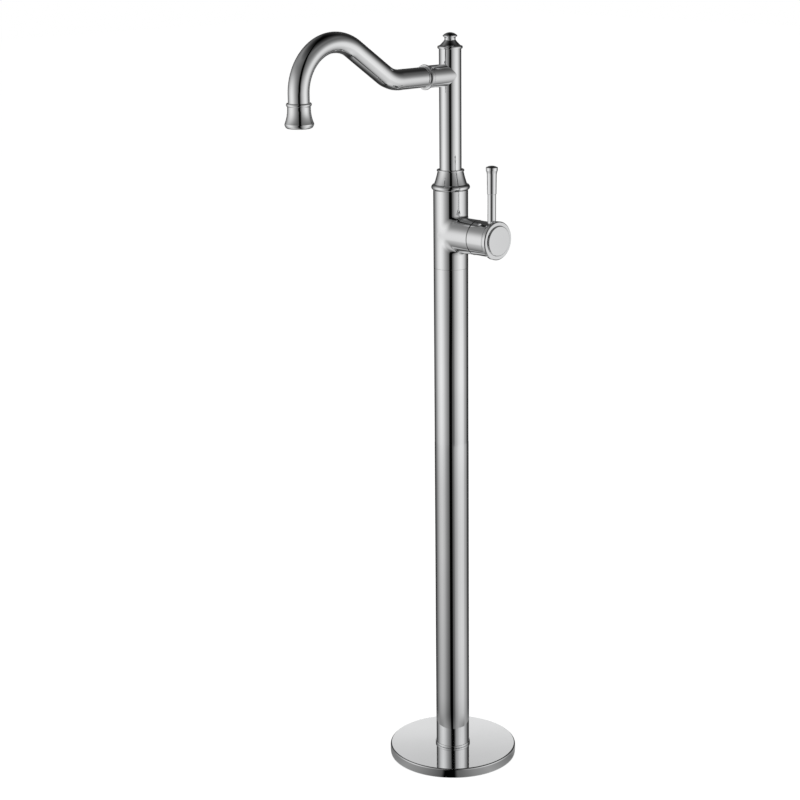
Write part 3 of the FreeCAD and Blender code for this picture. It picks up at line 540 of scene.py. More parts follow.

# %% [markdown]
# ## Floor cover and foot ring
# The cover is a spun tray, 170 mm across, with its upper edge rolled over. Its flat top mirrors
# the column, and the rolled edge mirrors the dark room above as one thin line. The foot ring is a
# slim bead that hides the gap round the column. Its round underside and the cover mirror each
# other, which draws the dark line at the column's foot. The cover has its own chrome, darker by
# painted shade and a little rougher.

# %% Floor cover and foot ring
SHEET = 1.5
COVER_ROUNDING, COVER_CHAMFER = 2.2, 0.5
cover_r = half_width("base_cover", X_AXIS)
cover_top = top("base_cover")
cover_in = cover_r - SHEET
under_cover = cover_top - SHEET
# the cover takes the darker chrome, whose colour is painted shade
lathe("base_cover", "stand", 192, (cover_in, 0), (cover_r, 0),
      *round_over(cover_r, cover_top, COVER_ROUNDING), (COLUMN_R + SNUG, cover_top),
      (COLUMN_R + SNUG, under_cover), (cover_in - COVER_CHAMFER, under_cover),
      (cover_in, under_cover - COVER_CHAMFER), finish=cover_shade_chrome)

RING_UNDERSIDE, UNDERSIDE_BOW = 0.8, 0.33
RING_ROUNDING = 0.9
ring_r = half_width("foot_ring", X_AXIS)
ring_low, ring_high = bottom("foot_ring"), top("foot_ring")
ring_in = COLUMN_R + RUN
lathe("foot_ring", "stand", 128, (ring_in, ring_low), ((ring_r, ring_low + RING_UNDERSIDE), UNDERSIDE_BOW),
      *round_over(ring_r, ring_high, RING_ROUNDING), (ring_in, ring_high))

# %% [markdown]
# ## Swivel collar
# The collar covers the joint where the spout's riser turns in the body. From below it is a
# half-round bead, a hollow cone and a thin flat lip. Every one of these bands catches a
# different part of the room, which is why the outline is followed so closely.

# %% Swivel collar
BEAD_HEIGHT, BEAD_BOW = 7.2, 2.4
CONE_FOOT_R, CONE_TOP_R, CONE_BOW = COLUMN_R - 1.1, 16.5, -0.35
LIP_R, LIP_ROUNDING = 17.5, 0.9
NECK_R = 18.0
NECK_HIGH = 783.0
collar_low, lip_high = bottom("swivel_collar"), top("swivel_collar")
bead_high = collar_low + BEAD_HEIGHT
collar_bore = RISER_R + FREE + RUN
over_neck = NECK_HIGH + 0.2
lathe("swivel_collar", "stand", 144, (COLUMN_R, collar_low), ((COLUMN_R, bead_high), BEAD_BOW),
      (CONE_FOOT_R, bead_high + 0.1), ((CONE_TOP_R, lip_high - 2.4), CONE_BOW), (CONE_TOP_R, lip_high - 2.1),
      (LIP_R, lip_high - 1.8), *round_over(LIP_R, lip_high, LIP_ROUNDING), (collar_bore, lip_high),
      (collar_bore, over_neck), (NECK_R + SNUG, over_neck), (NECK_R + SNUG, collar_low), soft=FINER)

# %% [markdown]
# ## Valve body
# This is one casting: an upright trunk and a branch of the same diameter. Two equal tubes meet
# in a seam that is sharp above and below, and that fades away where they touch side by side. A
# founder leaves a small fillet there, and the polisher's wheel widens it down the flanks until no
# edge is left. So the two skins are laid out as strips that share the seam, and the points near
# it are then moved onto a smooth union of the two tubes, whose fillet is widest on the flanks.

# %% Spheres about the lever's pivot, and the union of two tubes
STRIPS = 192                 # round each tube, a multiple of four
FILLET = 3.2
FLANK = 8.0                  # how much wider the fillet is where it runs down the sides
SLOPE_STEP = 0.01


def on_sphere(radius, height):
    """Distance along the valve's axis of a point of a sphere about the pivot."""
    return PIVOT_X + math.sqrt(radius ** 2 - height ** 2)


def sphere_arc(radius, from_r, to_r):
    """Step of an outline on a sphere about the pivot."""
    ends = [(r, on_sphere(radius, r)) for r in (from_r, to_r)]
    return (ends[1], math.copysign(bow_of(radius, *ends), from_r - to_r))


def union_distance(p, radius):
    """Distance from the smooth union of the trunk and the branch, level with its axis."""
    trunk = math.hypot(p.x, p.y) - radius
    branch = math.hypot(p.y, p.z) - radius
    if p.x < 0:
        branch = math.hypot(max(branch, 0), p.x)
    parallel = p.y * p.y / (math.hypot(p.x, p.y) * math.hypot(p.y, p.z) + 1e-9)
    reach = max(FILLET * (1 - parallel) + FLANK * math.sqrt(max(0.0, parallel * (1 - parallel))), 1e-4)
    share = min(1.0, max(0.0, 0.5 + 0.5 * (branch - trunk) / reach))
    return branch * (1 - share) + trunk * share - reach * share * (1 - share)


def union_slope(p, radius):
    """Which way the distance grows fastest, and how fast."""
    steps = [Vector(row) * SLOPE_STEP for row in Matrix.Identity(3)]
    return Vector([(union_distance(p + step, radius) - union_distance(p - step, radius)) / (2 * SLOPE_STEP)
                   for step in steps])


print("the fillet reaches", FILLET, "mm on top, and further on the flanks")

# %% Valve body
CLOSE_ROWS = (0.3, 0.7, 1.2, 1.8, 2.6, 3.6, 4.8, 6.2, 8.0, 10.0)     # rows near the seam
SETTLE = 4                   # steps that bring a point onto the union
DOME_R = 26.3                # spherical end of the branch, about the lever's pivot
MOUTH_R = 18.9               # the branch's inside
SPIGOT_R = 20.125            # stands in the column
NECK_BORE_R = 16.0
FOOT_Z = 672.0               # lower edge of the body, on the column
FOOT_EDGE = 0.35             # rounding there
TRUNK_STOP = 8.0             # the trunk's strips end this far from the shoulder and the foot
BRANCH_STOP = 44.0           # and the branch's end here
MOUTH_START = 40.0           # first level of the mouth's outline, left out later
AT_VALVE = Matrix.Translation((0, 0, VALVE_Z))
body_rise = bottom("swivel_collar") - SNUG - VALVE_Z      # heights from the valve's axis
body_drop = FOOT_Z - VALVE_Z
neck_top, spigot_low = top("valve_body") - VALVE_Z, bottom("valve_body") - VALVE_Z


def make_valve_body():
    verts, facings, places = [], [], {}

    def put(upright, turn, r, along, out, up):
        """Number of the point at radius r and a distance along the trunk's axis (upright) or the
        branch's. It faces out and up. A point that is already there is used again."""
        c, s = turn
        spot, facing = ((off * c, off * s, on) if upright else (on, off * c, off * s)
                        for off, on in ((r, along), (out, up)))
        key = tuple(round(part, 3) for part in spot)
        if key not in places:
            places[key] = len(verts)
            verts.append(Vector(spot))
            facings.append(Vector(facing))
        return places[key]

    def skin(radius, out, side, end):
        """Rows from the seam to an end: of the trunk, above the axis (side 1) or below it (-1),
        or of the branch (side 0)."""
        rows = []
        for off in (0, *CLOSE_ROWS, None):
            row = []
            for turn in turns(STRIPS):
                seam = radius * (side * max(0.0, turn[0]) if side else abs(turn[1]))
                along = end if off is None else seam + (side or 1) * off
                row.append(put(side != 0, turn, radius, along, out, 0))
            rows.append(row)
        return rows

    def rim(points, upright):
        """Rows of an outline turned about the trunk's axis or the branch's."""
        return [[put(upright, turn, r, along, out, up) for turn in turns(STRIPS)]
                for (r, along), (out, up) in points]

    # the outlines of the three ends start inside the strips, and are cut off there
    start, cut = TRUNK_STOP + 1, TRUNK_STOP + 0.5
    # over the shoulder, up and over the neck, and down inside it
    over_top = outline((MOUTH_R, body_rise - start), (COLUMN_R, body_rise - start), (COLUMN_R, body_rise),
                       (NECK_R, body_rise), (NECK_R, neck_top), (NECK_BORE_R, neck_top),
                       (NECK_BORE_R, body_rise - 6))
    # down to the spigot, round it and back up outside
    under = outline((MOUTH_R, body_drop + start), (MOUTH_R - 0.8, spigot_low), (SPIGOT_R, spigot_low),
                    (SPIGOT_R, body_drop), (COLUMN_R, body_drop), (COLUMN_R, body_drop + start),
                    soft=FOOT_EDGE)
    mouth = outline((MOUTH_R, MOUTH_START), (COLUMN_R, MOUTH_START), (COLUMN_R, on_sphere(DOME_R, COLUMN_R)),
                    sphere_arc(DOME_R, COLUMN_R, MOUTH_R), soft=FINE)
    neck = [q for q in over_top if q[0].y > body_rise - cut]
    foot = [q for q in under if q[0].y < body_drop + cut]
    lips = [q for q in mouth if q[0].y > MOUTH_START + 0.5]
    ends = ((1, body_rise - TRUNK_STOP), (-1, body_drop + TRUNK_STOP), (0, BRANCH_STOP))
    outer = [skin(COLUMN_R, 1, *end) for end in ends]
    inner = [skin(MOUTH_R, -1, *end) for end in ends]
    faces = (strips(outer[0] + rim(neck, True) + inner[0][::-1])
             + strips(inner[1] + rim(foot, True) + outer[1][::-1])
             + strips(outer[2] + rim(lips, False) + inner[2][::-1]))
    for i in {i for rows in outer for row in rows for i in row}:
        p = verts[i].copy()
        for _ in range(SETTLE):
            slope = union_slope(p, COLUMN_R)
            p -= slope * (union_distance(p, COLUMN_R) / slope.length_squared)
        verts[i] = p
        facings[i] = union_slope(p, COLUMN_R).normalized()
    return verts, facings, faces


make_piece("valve_body", "stand", *make_valve_body(), place=AT_VALVE)

# %% [markdown]
# ## Dome, hub, front disc and cap
# The lever's hub is hollowed to a sphere, so that it can swing over the domed end of the branch
# without opening a gap. Both spheres share the lever's pivot as their centre. In front sits a
# disc with a bevelled rim and, in it, a plain round cap that stands 2 mm proud. The cap's side and
# bevel mirror the dark room on the near side, which draws the crescent of the photograph.

# %% Dome and hub
DOME_WALL = 2.0
DOME_HOLE_R, DOME_BACK_R, DOME_BACK = 13.7, 17.2, 44.1
dome_rim, dome_in = MOUTH_R - SNUG, DOME_R - DOME_WALL
lathe("dome_cap", "stand", 144, (DOME_BACK_R, DOME_BACK), (dome_rim, DOME_BACK),
      (dome_rim, on_sphere(DOME_R, dome_rim)), sphere_arc(DOME_R, dome_rim, DOME_HOLE_R),
      (DOME_HOLE_R, on_sphere(dome_in, DOME_HOLE_R)), sphere_arc(dome_in, DOME_HOLE_R, DOME_BACK_R),
      soft=FINE, place=ALONG_VALVE)

HUB_HOLLOW_R = 26.9
HUB_R = half_width("handle_hub", Y_AXIS)
HUB_GROOVE = 74.6            # where the turned line starts
SHANK_R = 4.7                # round passage for the spindle and its screw
POCKET_R, POCKET_FLOOR = 15.1, 74.4
STEP_IN, STEP_DEPTH = 1.2, 0.75
hub_face = corners("handle_hub")[1].x
hub_step = hub_face - STEP_DEPTH
lathe("handle_hub", "handle", 160, (SHANK_R, on_sphere(HUB_HOLLOW_R, SHANK_R)),
      sphere_arc(HUB_HOLLOW_R, SHANK_R, HUB_R), *groove(HUB_R, HUB_GROOVE, 0.9, 0.35, 0.2), (HUB_R, hub_step),
      (HUB_R - STEP_IN, hub_step), (HUB_R - STEP_IN, hub_face), (POCKET_R, hub_face),
      (POCKET_R, POCKET_FLOOR), (SHANK_R, POCKET_FLOOR), soft=FINE, place=ALONG_VALVE)

# %% Front disc and cap
DISC_BEVEL, CAP_BEVEL = 1.15, 0.9
DISC_SPIGOT_R = 15.0
PEG_R, PEG_HOLE_R, PEG_LENGTH = 4.5, 4.6, 3.0
RECESS_EDGE = 0.1
disc_r, cap_r = half_width("handle_disc", Y_AXIS), half_width("index_cap", Y_AXIS)
disc_low, disc_face = (corner.x for corner in corners("handle_disc"))
cap_back, cap_face = (corner.x for corner in corners("index_cap"))
disc_back = hub_face + RUN
cap_seat = cap_back + PEG_LENGTH
recess_r, recess_floor = cap_r + SNUG, cap_seat - RUN
lathe("handle_disc", "handle", 160, (PEG_HOLE_R, disc_low), (DISC_SPIGOT_R, disc_low),
      (DISC_SPIGOT_R, disc_back), (disc_r - 1.0, disc_back), ((disc_r, disc_back + 1.4), 0.36),
      (disc_r, disc_face - DISC_BEVEL), ((disc_r - DISC_BEVEL, disc_face), 0.06),
      (recess_r + RECESS_EDGE, disc_face), (recess_r, disc_face - RECESS_EDGE), (recess_r, recess_floor),
      (PEG_HOLE_R, recess_floor), soft=FINE, place=ALONG_VALVE)

lathe("index_cap", "handle", 160, (0, cap_back), (PEG_R, cap_back), (PEG_R, cap_seat), (cap_r, cap_seat),
      (cap_r, cap_face - CAP_BEVEL), ((cap_r - CAP_BEVEL, cap_face), 0.1), (0, cap_face), soft=FINEST,
      place=ALONG_VALVE)

# %% [markdown]
# ## Lever
# A round pin with a saddle foot on the hub, and a slightly tapered grip that flares at its end.
# The joint between stem and grip shows as one fine line.

# %% Lever stem and grip
AT_LEVER = Matrix.Translation((middle("lever_grip", X_AXIS), 0, VALVE_Z))
SEAT_R = HUB_R + RUN
STEM_R, TENON_R, TENON_LENGTH = 5.3, 3.0, 12
GRIP_FOOT_R, GRIP_R, FLARE_R, END_R = 5.85, 6.1, 7.4, 6.5
stem_top = bottom("lever_grip") - VALVE_Z - RUN
tenon_top = stem_top + TENON_LENGTH
lathe("lever_stem", "handle", 96, (0, SEAT_R), (2.6, SEAT_R), (STEM_R, SEAT_R), (STEM_R, stem_top),
      (TENON_R, stem_top), (TENON_R, tenon_top), (0, tenon_top), soft=FINE, seat=(SEAT_R, Y_AXIS),
      place=AT_LEVER)

grip_low, grip_top = stem_top + RUN, top("lever_grip") - VALVE_Z
lathe("lever_grip", "handle", 96, (0, tenon_top + FREE), (TENON_R + RUN, tenon_top + FREE),
      (TENON_R + RUN, grip_low), (GRIP_FOOT_R - 0.35, grip_low), (GRIP_FOOT_R, grip_low + 0.5),
      (GRIP_R, grip_top - 11.0), ((FLARE_R, grip_top - 5.9), -0.23), (FLARE_R + 0.05, grip_top - 2.7),
      ((END_R, grip_top - 1.6), 0.33), crown(END_R, grip_top - 1.6, grip_top), soft=FINE, place=AT_LEVER)

# %% [markdown]
# ## Finial and spout socket
# The finial closes the riser: bead, cone, waist and a domed button. The socket is a short sleeve
# brazed to the riser's side, so its inner end is a saddle. A thin rounded ring with a small neck
# follows where the spout tube goes in.

# %% Finial
PLUG_R, SEAL_R, SEAL_LOW, SEAL_HIGH = 12.65, 10.7, 938, 940.2
FINIAL_BEAD_R, FINIAL_CONE_R, WAIST_R, BUTTON_R = 15.3, 12.9, 6.9, 8.6
finial_low, finial_top, riser_top = bottom("finial"), top("finial"), top("riser_tube")
lathe("finial", "spout", 128, (0, finial_low), (PLUG_R, finial_low), (PLUG_R, SEAL_LOW), (SEAL_R, SEAL_LOW),
      (SEAL_R, SEAL_HIGH), (PLUG_R, SEAL_HIGH), (PLUG_R, riser_top + RUN), (FINIAL_BEAD_R, riser_top + RUN),
      ((FINIAL_BEAD_R, riser_top + 3.25), 0.5), (FINIAL_CONE_R, riser_top + 4.05),
      ((WAIST_R, finial_top - 9.2), -0.18), (WAIST_R, finial_top - 7.2),
      ((BUTTON_R - 0.1, finial_top - 5.3), -0.33), ((BUTTON_R, finial_top - 3.4), 0.5),
      crown(BUTTON_R, finial_top - 3.4, finial_top), soft=FINE)

# %% Spout socket and flange
SOCKET_R, SOCKET_SEAT_R, SOCKET_BORE_R = RISER_R - SNUG, RISER_R + RUN, 8.5
SOCKET_GROOVE = 38.6
FLANGE_R, FLANGE_NECK_R, FLANGE_THICK = 14.9, 13.5, 2.4
TUBE_R = half_width("spout_tube", X_AXIS)
TUBE_START = -corners("spout_tube")[1].y
tube_hole = TUBE_R + RUN
socket_end = -corners("spout_socket")[0].y
lathe("spout_socket", "spout", 128, (SOCKET_BORE_R, SOCKET_SEAT_R), (11.2, SOCKET_SEAT_R),
      (SOCKET_R, SOCKET_SEAT_R), *groove(SOCKET_R, SOCKET_GROOVE, 0.6, 0.3, 0.05), (SOCKET_R, socket_end),
      (tube_hole, socket_end), (tube_hole, TUBE_START - RUN), (SOCKET_BORE_R, TUBE_START - RUN), soft=FINEST,
      seat=(SOCKET_SEAT_R, X_AXIS), place=ALONG_ARM)

flange_end, flange_low = (-c.y for c in corners("spout_flange"))
lathe("spout_flange", "spout", 128, (tube_hole, flange_low), (FLANGE_R, flange_low),
      ((FLANGE_R, flange_low + FLANGE_THICK), 0.7), (FLANGE_NECK_R, flange_low + FLANGE_THICK),
      (FLANGE_NECK_R, flange_end - 0.3), (FLANGE_NECK_R - 0.3, flange_end), (tube_hole, flange_end),
      soft=FINER, place=ALONG_ARM)

# %% [markdown]
# ## Outlet bell and aerator sleeve
# The bell flares towards its mouth and ends in a rolled lip. The aerator's sleeve screws into it.

# %% Outlet bell and aerator sleeve
BELL_BORE_R, BELL_LIP_R, BELL_NECK_R, BELL_BEAD_R = 12.0, 14.4, 13.85, 14.2
BELL_STEP_R, BELL_STEP_Z = 11.55, 880
SLEEVE_IN_R, SLEEVE_R = 10.6, 11.9
bell_low, bell_top = bottom("outlet_bell"), top("outlet_bell")
bell_r = half_width("outlet_bell", X_AXIS) - 0.2      # its flare swells past its points
tube_end = bottom("spout_tube")
lathe("outlet_bell", "spout", 144, (BELL_BORE_R, bell_low), (BELL_LIP_R, bell_low),
      ((bell_r - 0.5, bell_low + 2.6), 0.45), ((bell_r, bell_low + 5.4), 0.3),
      ((BELL_NECK_R, bell_top - 7.5), -0.82), (BELL_NECK_R, bell_top - 4.2), (BELL_BEAD_R, bell_top - 4.0),
      ((BELL_BEAD_R, bell_top), 0.85), (tube_hole, bell_top), (tube_hole, tube_end - RUN),
      (BELL_STEP_R, tube_end - RUN), (BELL_STEP_R, BELL_STEP_Z), (BELL_BORE_R, BELL_STEP_Z), soft=FINER,
      place=AT_OUTLET)

sleeve_low, sleeve_high = bottom("aerator_housing"), top("aerator_housing")
lathe("aerator_housing", "spout", 96, (SLEEVE_IN_R, sleeve_low), (SLEEVE_R, sleeve_low),
      (SLEEVE_R, sleeve_high), (SLEEVE_IN_R, sleeve_high), place=AT_OUTLET)

# %% [markdown]
# ## Spout tube, by Geometry Nodes
# A tube bender moves along one stock tube and puts two bends into it. Geometry Nodes work the
# same way: a path is drawn once, and a small tree sweeps a circle along it. Radius and smoothness
# are named inputs, so another tube is one number away. A Solidify modifier then gives the wall.

# %% Helpers for Geometry Nodes
GEOMETRY, MATERIAL = ("Geometry", "Geometry", None), ("Material", "Material", None)


def geometry_tree(name, inputs):
    """A Geometry Nodes tree that takes geometry, some inputs of its own and a material."""
    return new_group(name, "GeometryNodeTree", [GEOMETRY, *inputs, MATERIAL], [GEOMETRY[:2]])


def finish_tree(tree, given, result, source):
    """End a tree the same way each time: real geometry, smooth, with its material."""
    real = add_node(tree, "GeometryNodeRealizeInstances", {"Geometry": source})
    smooth = add_node(tree, "GeometryNodeSetShadeSmooth", {"Geometry": real.outputs["Geometry"]})
    coat = add_node(tree, "GeometryNodeSetMaterial", {
        "Geometry": smooth.outputs["Geometry"], "Material": given["Material"]})
    plug(tree, result["Geometry"], coat.outputs["Geometry"])
    return tree


def circle(tree, radius, points):
    """A round curve, as a path or as the section of a wire."""
    node = add_node(tree, "GeometryNodeCurvePrimitiveCircle", {"Radius": radius, "Resolution": points})
    return node.outputs["Curve"]


def swept(tree, path, section, caps=False):
    """A section swept along a path."""
    inputs = {"Curve": path, "Profile Curve": section, "Fill Caps": caps}
    return add_node(tree, "GeometryNodeCurveToMesh", inputs).outputs["Mesh"]


def plain_mesh(obj, name):
    """What an object's modifiers make of it, as a mesh of its own."""
    bpy.context.view_layer.update()
    mesh = bpy.data.meshes.new_from_object(obj.evaluated_get(bpy.context.evaluated_depsgraph_get()))
    mesh.name = name
    return mesh


def grow(base, tree, values, name):
    """Run a tree on a base object with these input values and keep the result as a plain mesh."""
    modifier = base.modifiers.new(tree.name, "NODES")
    modifier.node_group = tree
    for item in tree.interface.items_tree:
        if item.in_out == "INPUT" and item.name in values:
            modifier[item.identifier] = values[item.name]
    mesh = plain_mesh(base, name)
    bpy.data.objects.remove(base)
    return link_object(name, mesh)


print("geometry helpers ready")

# %% The spout's path
CLIMB = math.radians(34.65)
QUARTER = math.pi / 2
KNEE_R, BOW_R = 44.1, 55.3
ARM_END = 87.8
CLIMB_LENGTH = 58.3
BEND_STEP = 1.5              # degrees between points of a bend


def polar(point, distance, angle):
    """The point at a distance from another, in the spout's plane: (along the arm, height)."""
    return (point[0] + distance * math.cos(angle), point[1] + distance * math.sin(angle))


def bend(centre, radius, start, end):
    """Points of a bend, from one angle to another."""
    count = math.ceil(abs(math.degrees(end - start)) / BEND_STEP)
    return [polar(centre, radius, start + (end - start) * i / count) for i in range(count + 1)]


def straight(start, end):
    """Points of a straight stretch, closest together at its ends."""
    length = math.dist(start, end)
    places = [0.3, 1.0] + [length * i / 8 for i in range(1, 8)] + [length - 1.0, length - 0.3]
    return [tuple(a + (b - a) * place / length for a, b in zip(start, end)) for place in places]


arm_start, arm_end = (TUBE_START, ARM_Z), (ARM_END, ARM_Z)
knee = (ARM_END, ARM_Z + KNEE_R)
knee_end = polar(knee, KNEE_R, CLIMB - QUARTER)
bow_start = polar(knee_end, CLIMB_LENGTH, CLIMB)
bow = polar(bow_start, BOW_R, CLIMB - QUARTER)
leg_top = polar(bow, BOW_R, 0)
leg_end = (leg_top[0], tube_end)
path = [arm_start, *straight(arm_start, arm_end), *bend(knee, KNEE_R, -QUARTER, CLIMB - QUARTER),
        *straight(knee_end, bow_start), *bend(bow, BOW_R, CLIMB + QUARTER, 0),
        *straight(leg_top, leg_end), leg_end]
print("the spout's path has", len(path), "points and reaches", round(leg_top[0], 2), "mm")

# %% Sweep the tube
TUBE_WALL = 1.2
TUBE_EDGE = 40               # degrees; the tube's two cut ends stay sharp


def make_sweep_tree():
    tree, given, result = geometry_tree("swept_tube", [("Radius", "Float", 0.01), ("Smoothness", "Int", 64)])
    section = circle(tree, given["Radius"], given["Smoothness"])
    return finish_tree(tree, given, result, swept(tree, given["Geometry"], section))


def path_object(name, points):
    """A curve object through points (x, y, z) in millimetres."""
    curve = bpy.data.curves.new(name, "CURVE")
    curve.dimensions = "3D"
    spline = curve.splines.new("POLY")
    spline.points.add(len(points) - 1)
    for place, (x, y, z) in zip(spline.points, points):
        place.co = (x * MM, y * MM, z * MM, 1.0)
    return link_object(name, curve)


swept_tube = make_sweep_tree()
spine = path_object("spout_path", [(0, -along, z) for along, z in path])
spout_tube = grow(spine, swept_tube, {"Radius": TUBE_R * MM, "Smoothness": 96, "Material": chrome},
                  "finished_spout_tube")
wall = spout_tube.modifiers.new("wall", "SOLIDIFY")
wall.thickness = TUBE_WALL * MM
wall.offset = -1
walled = plain_mesh(spout_tube, "finished_spout_tube")
spout_tube.modifiers.clear()
spout_tube.data = walled
walled.set_sharp_from_angle(angle=math.radians(TUBE_EDGE))
finish_piece(spout_tube, "spout_tube", "spout")

# %% [markdown]
# ## Woven aerator screen, by Geometry Nodes
# Under the bell, the water leaves through a fine woven screen. One wire is drawn as a line,
# repeated across the disc, cut to the circle by its own length and waved up and down. The same
# wires, turned over and round by a quarter, make the other direction, so they weave.

# %% Weave the screen
SCREEN_WIRE = 0.16           # radius of a wire
SCREEN_PITCH = 0.85
WIRE_SIDES, RIM_SIDES, RIM_STEPS = 6, 10, 96


def make_weave_tree():
    tree, given, result = geometry_tree("woven_screen", [("Radius", "Float", 0.01), ("Pitch", "Float", 0.001),
                                                         ("Wire", "Float", 0.0001), ("Wires", "Int", 25)])

    def vector(x=0.0, y=0.0, z=0.0):
        return add_node(tree, "ShaderNodeCombineXYZ", {"X": x, "Y": y, "Z": z}).outputs["Vector"]

    def times(a, b):
        return maths(tree, "MULTIPLY", a, b)

    def wave(along):
        """Up and down once in two pitches."""
        return maths(tree, "COSINE", maths(tree, "DIVIDE", times(along, math.pi), pitch))

    radius, pitch, wire = (given[label] for label in ("Radius", "Pitch", "Wire"))
    # a row of points across the disc, one for each wire
    first_y = times(times(maths(tree, "SUBTRACT", given["Wires"], 1), pitch), -0.5)
    row = add_node(tree, "GeometryNodeMeshLine", {
        "Count": given["Wires"], "Start Location": vector(y=first_y), "Offset": vector(y=pitch)})
    place = add_node(tree, "GeometryNodeInputPosition").outputs["Position"]
    parts = add_node(tree, "ShaderNodeSeparateXYZ", {"Vector": place}).outputs
    # wires as long as the circle is wide there
    reach = maths(tree, "SUBTRACT", maths(tree, "POWER", radius, 2.0), maths(tree, "POWER", parts["Y"], 2.0))
    half = maths(tree, "SQRT", maths(tree, "MAXIMUM", reach, 1e-9))
    line = add_node(tree, "GeometryNodeCurvePrimitiveLine", {"Start": (-1, 0, 0), "End": (1, 0, 0)})
    spread = add_node(tree, "GeometryNodeInstanceOnPoints", {
        "Points": row.outputs["Mesh"], "Scale": vector(half, 1.0, 1.0), "Instance": line.outputs["Curve"]})
    real = add_node(tree, "GeometryNodeRealizeInstances", {"Geometry": spread.outputs["Instances"]})
    fine = add_node(tree, "GeometryNodeResampleCurve", {
        "Curve": real.outputs["Geometry"], "Length": maths(tree, "DIVIDE", pitch, 4.0)}, mode="LENGTH")
    # each is waved, and the same wires turned over make the other direction
    lift = times(times(wave(parts["X"]), wave(parts["Y"])), wire)
    waved = add_node(tree, "GeometryNodeSetPosition", {
        "Geometry": fine.outputs["Curve"], "Offset": vector(z=lift)})
    wires = swept(tree, waved.outputs["Geometry"], circle(tree, wire, WIRE_SIDES), caps=True)
    crossed = add_node(tree, "GeometryNodeTransform", {"Geometry": wires, "Rotation": (math.pi, 0, QUARTER)})
    rim = swept(tree, circle(tree, radius, RIM_STEPS), circle(tree, times(wire, 2.0), RIM_SIDES))
    both = add_node(tree, "GeometryNodeJoinGeometry")
    for source in (wires, crossed.outputs["Geometry"], rim):
        plug(tree, both.inputs["Geometry"], source)
    return finish_tree(tree, given, result, both.outputs["Geometry"])


screen_r = half_width("aerator_screen", X_AXIS) - 2 * SCREEN_WIRE
wire_count = 2 * math.floor(screen_r / SCREEN_PITCH) + 1
blank = link_object("screen_blank", bpy.data.meshes.new("screen_blank"))
values = {"Radius": screen_r * MM, "Pitch": SCREEN_PITCH * MM, "Wire": SCREEN_WIRE * MM, "Wires": wire_count,
          "Material": steel}
screen = grow(blank, make_weave_tree(), values, "finished_aerator_screen")
screen.data.transform(Matrix.Translation((0, OUTLET_Y * MM, middle("aerator_screen", Z_AXIS) * MM)))
finish_piece(screen, "aerator_screen", "spout")

# %% [markdown]
# ## The studio that the chrome reflects
# The photograph's metal shows a bright lobe left and right, a thin black line between them, dark
# edges, and a nearly black sky on every surface that looks up. A photographer gets this with a
# tent of white panels, a narrow black card beside the camera and little overhead. Here the tent
# is a ring wall with a roof and a floor mat. It is stage scenery: only reflections see it. The
# wall is as far away as the black line's shift between column and outlet says, 1.5 metres.

# %% Tent sizes and its light
TENT_R = 1.5
TENT_H = 2.6
MAT_HOLE_R = 0.0858          # just outside the floor cover
MAT_LIFT = 0.0004
# light round the tent: (degrees to the right of the camera, level)
LOW_WALL = [(-180, 0.03), (-150, 0.03), (-143, 0.05), (-134, 0.14), (-120, 0.30), (-108, 0.48), (-96, 0.70),
            (-82, 0.84), (-70, 0.90), (-55, 0.76), (-38, 0.45), (-26, 0.29), (-14, 0.15), (0, 0.11),
            (10, 0.12), (16, 0.19), (25, 0.42), (37, 0.58), (52, 0.79), (67, 0.90), (82, 0.80), (96, 0.62),
            (108, 0.40), (120, 0.18), (130, 0.06), (140, 0.03), (180, 0.03)]
HIGH_WALL = [(-180, 0.04), (-165, 0.05), (-150, 0.10), (-138, 0.12), (-122, 0.21), (-100, 0.25), (-80, 0.24),
             (-60, 0.21), (-40, 0.17), (-20, 0.12), (0, 0.06), (12, 0.10), (25, 0.15), (40, 0.17), (55, 0.16),
             (80, 0.13), (96, 0.13), (110, 0.09), (125, 0.04), (140, 0.02), (160, 0.03), (180, 0.04)]
FAR_MAT = [(-180, 0.11), (-150, 0.04), (-140, 0.06), (-120, 0.28), (-108, 0.45), (-96, 0.66), (-82, 0.82),
           (-68, 0.86), (-52, 0.70), (-38, 0.42), (-26, 0.26), (-14, 0.12), (0, 0.10), (9, 0.16), (16, 0.33),
           (25, 0.46), (37, 0.62), (52, 0.80), (67, 0.88), (82, 0.80), (96, 0.64), (108, 0.46), (120, 0.26),
           (130, 0.05), (150, 0.04), (180, 0.11)]
NEAR_MAT = [(-180, 0.11), (-138, 0.15), (-108, 0.31), (-90, 0.23), (-70, 0.27), (-52, 0.36), (-37, 0.31),
            (-22, 0.20), (-10, 0.09), (0, 0.11), (10, 0.18), (22, 0.30), (38, 0.40), (55, 0.31), (75, 0.20),
            (95, 0.36), (110, 0.30), (140, 0.16), (180, 0.11)]
# shares and levels by height, or by distance from the middle: (metres, level)
RISE_LEFT = [(0.0, 0.0), (0.7, 0.0), (0.85, 0.03), (1.0, 0.10), (1.15, 0.24), (1.3, 0.42), (1.5, 0.68),
             (1.7, 0.88), (1.95, 1.0), (TENT_H, 1.0)]
RISE_RIGHT = [(0.0, 0.0), (0.7, 0.0), (0.85, 0.08), (1.0, 0.20), (1.15, 0.41), (1.3, 0.62), (1.5, 0.80),
              (1.7, 0.90), (1.95, 1.0), (TENT_H, 1.0)]
WALL_FOOT = [(0.0, 0.9), (0.15, 1.0), (TENT_H, 1.0)]
BACK_PANEL = [(0.0, 1.0), (0.67, 0.95), (0.697, 0.90), (0.713, 0.85), (0.735, 0.78), (0.751, 0.743),
              (0.78, 0.71), (0.84, 0.60), (0.88, 0.08), (TENT_H, 0.02)]
PANEL_LEVEL = 0.975
PANEL_EDGE = (162, 168)      # degrees from the camera, where the back panel begins
MAT_LEFT = [(0.0, 0.30), (0.12, 0.38), (0.21, 0.55), (0.42, 0.62), (0.82, 0.72), (1.2, 0.77), (TENT_R, 0.9)]
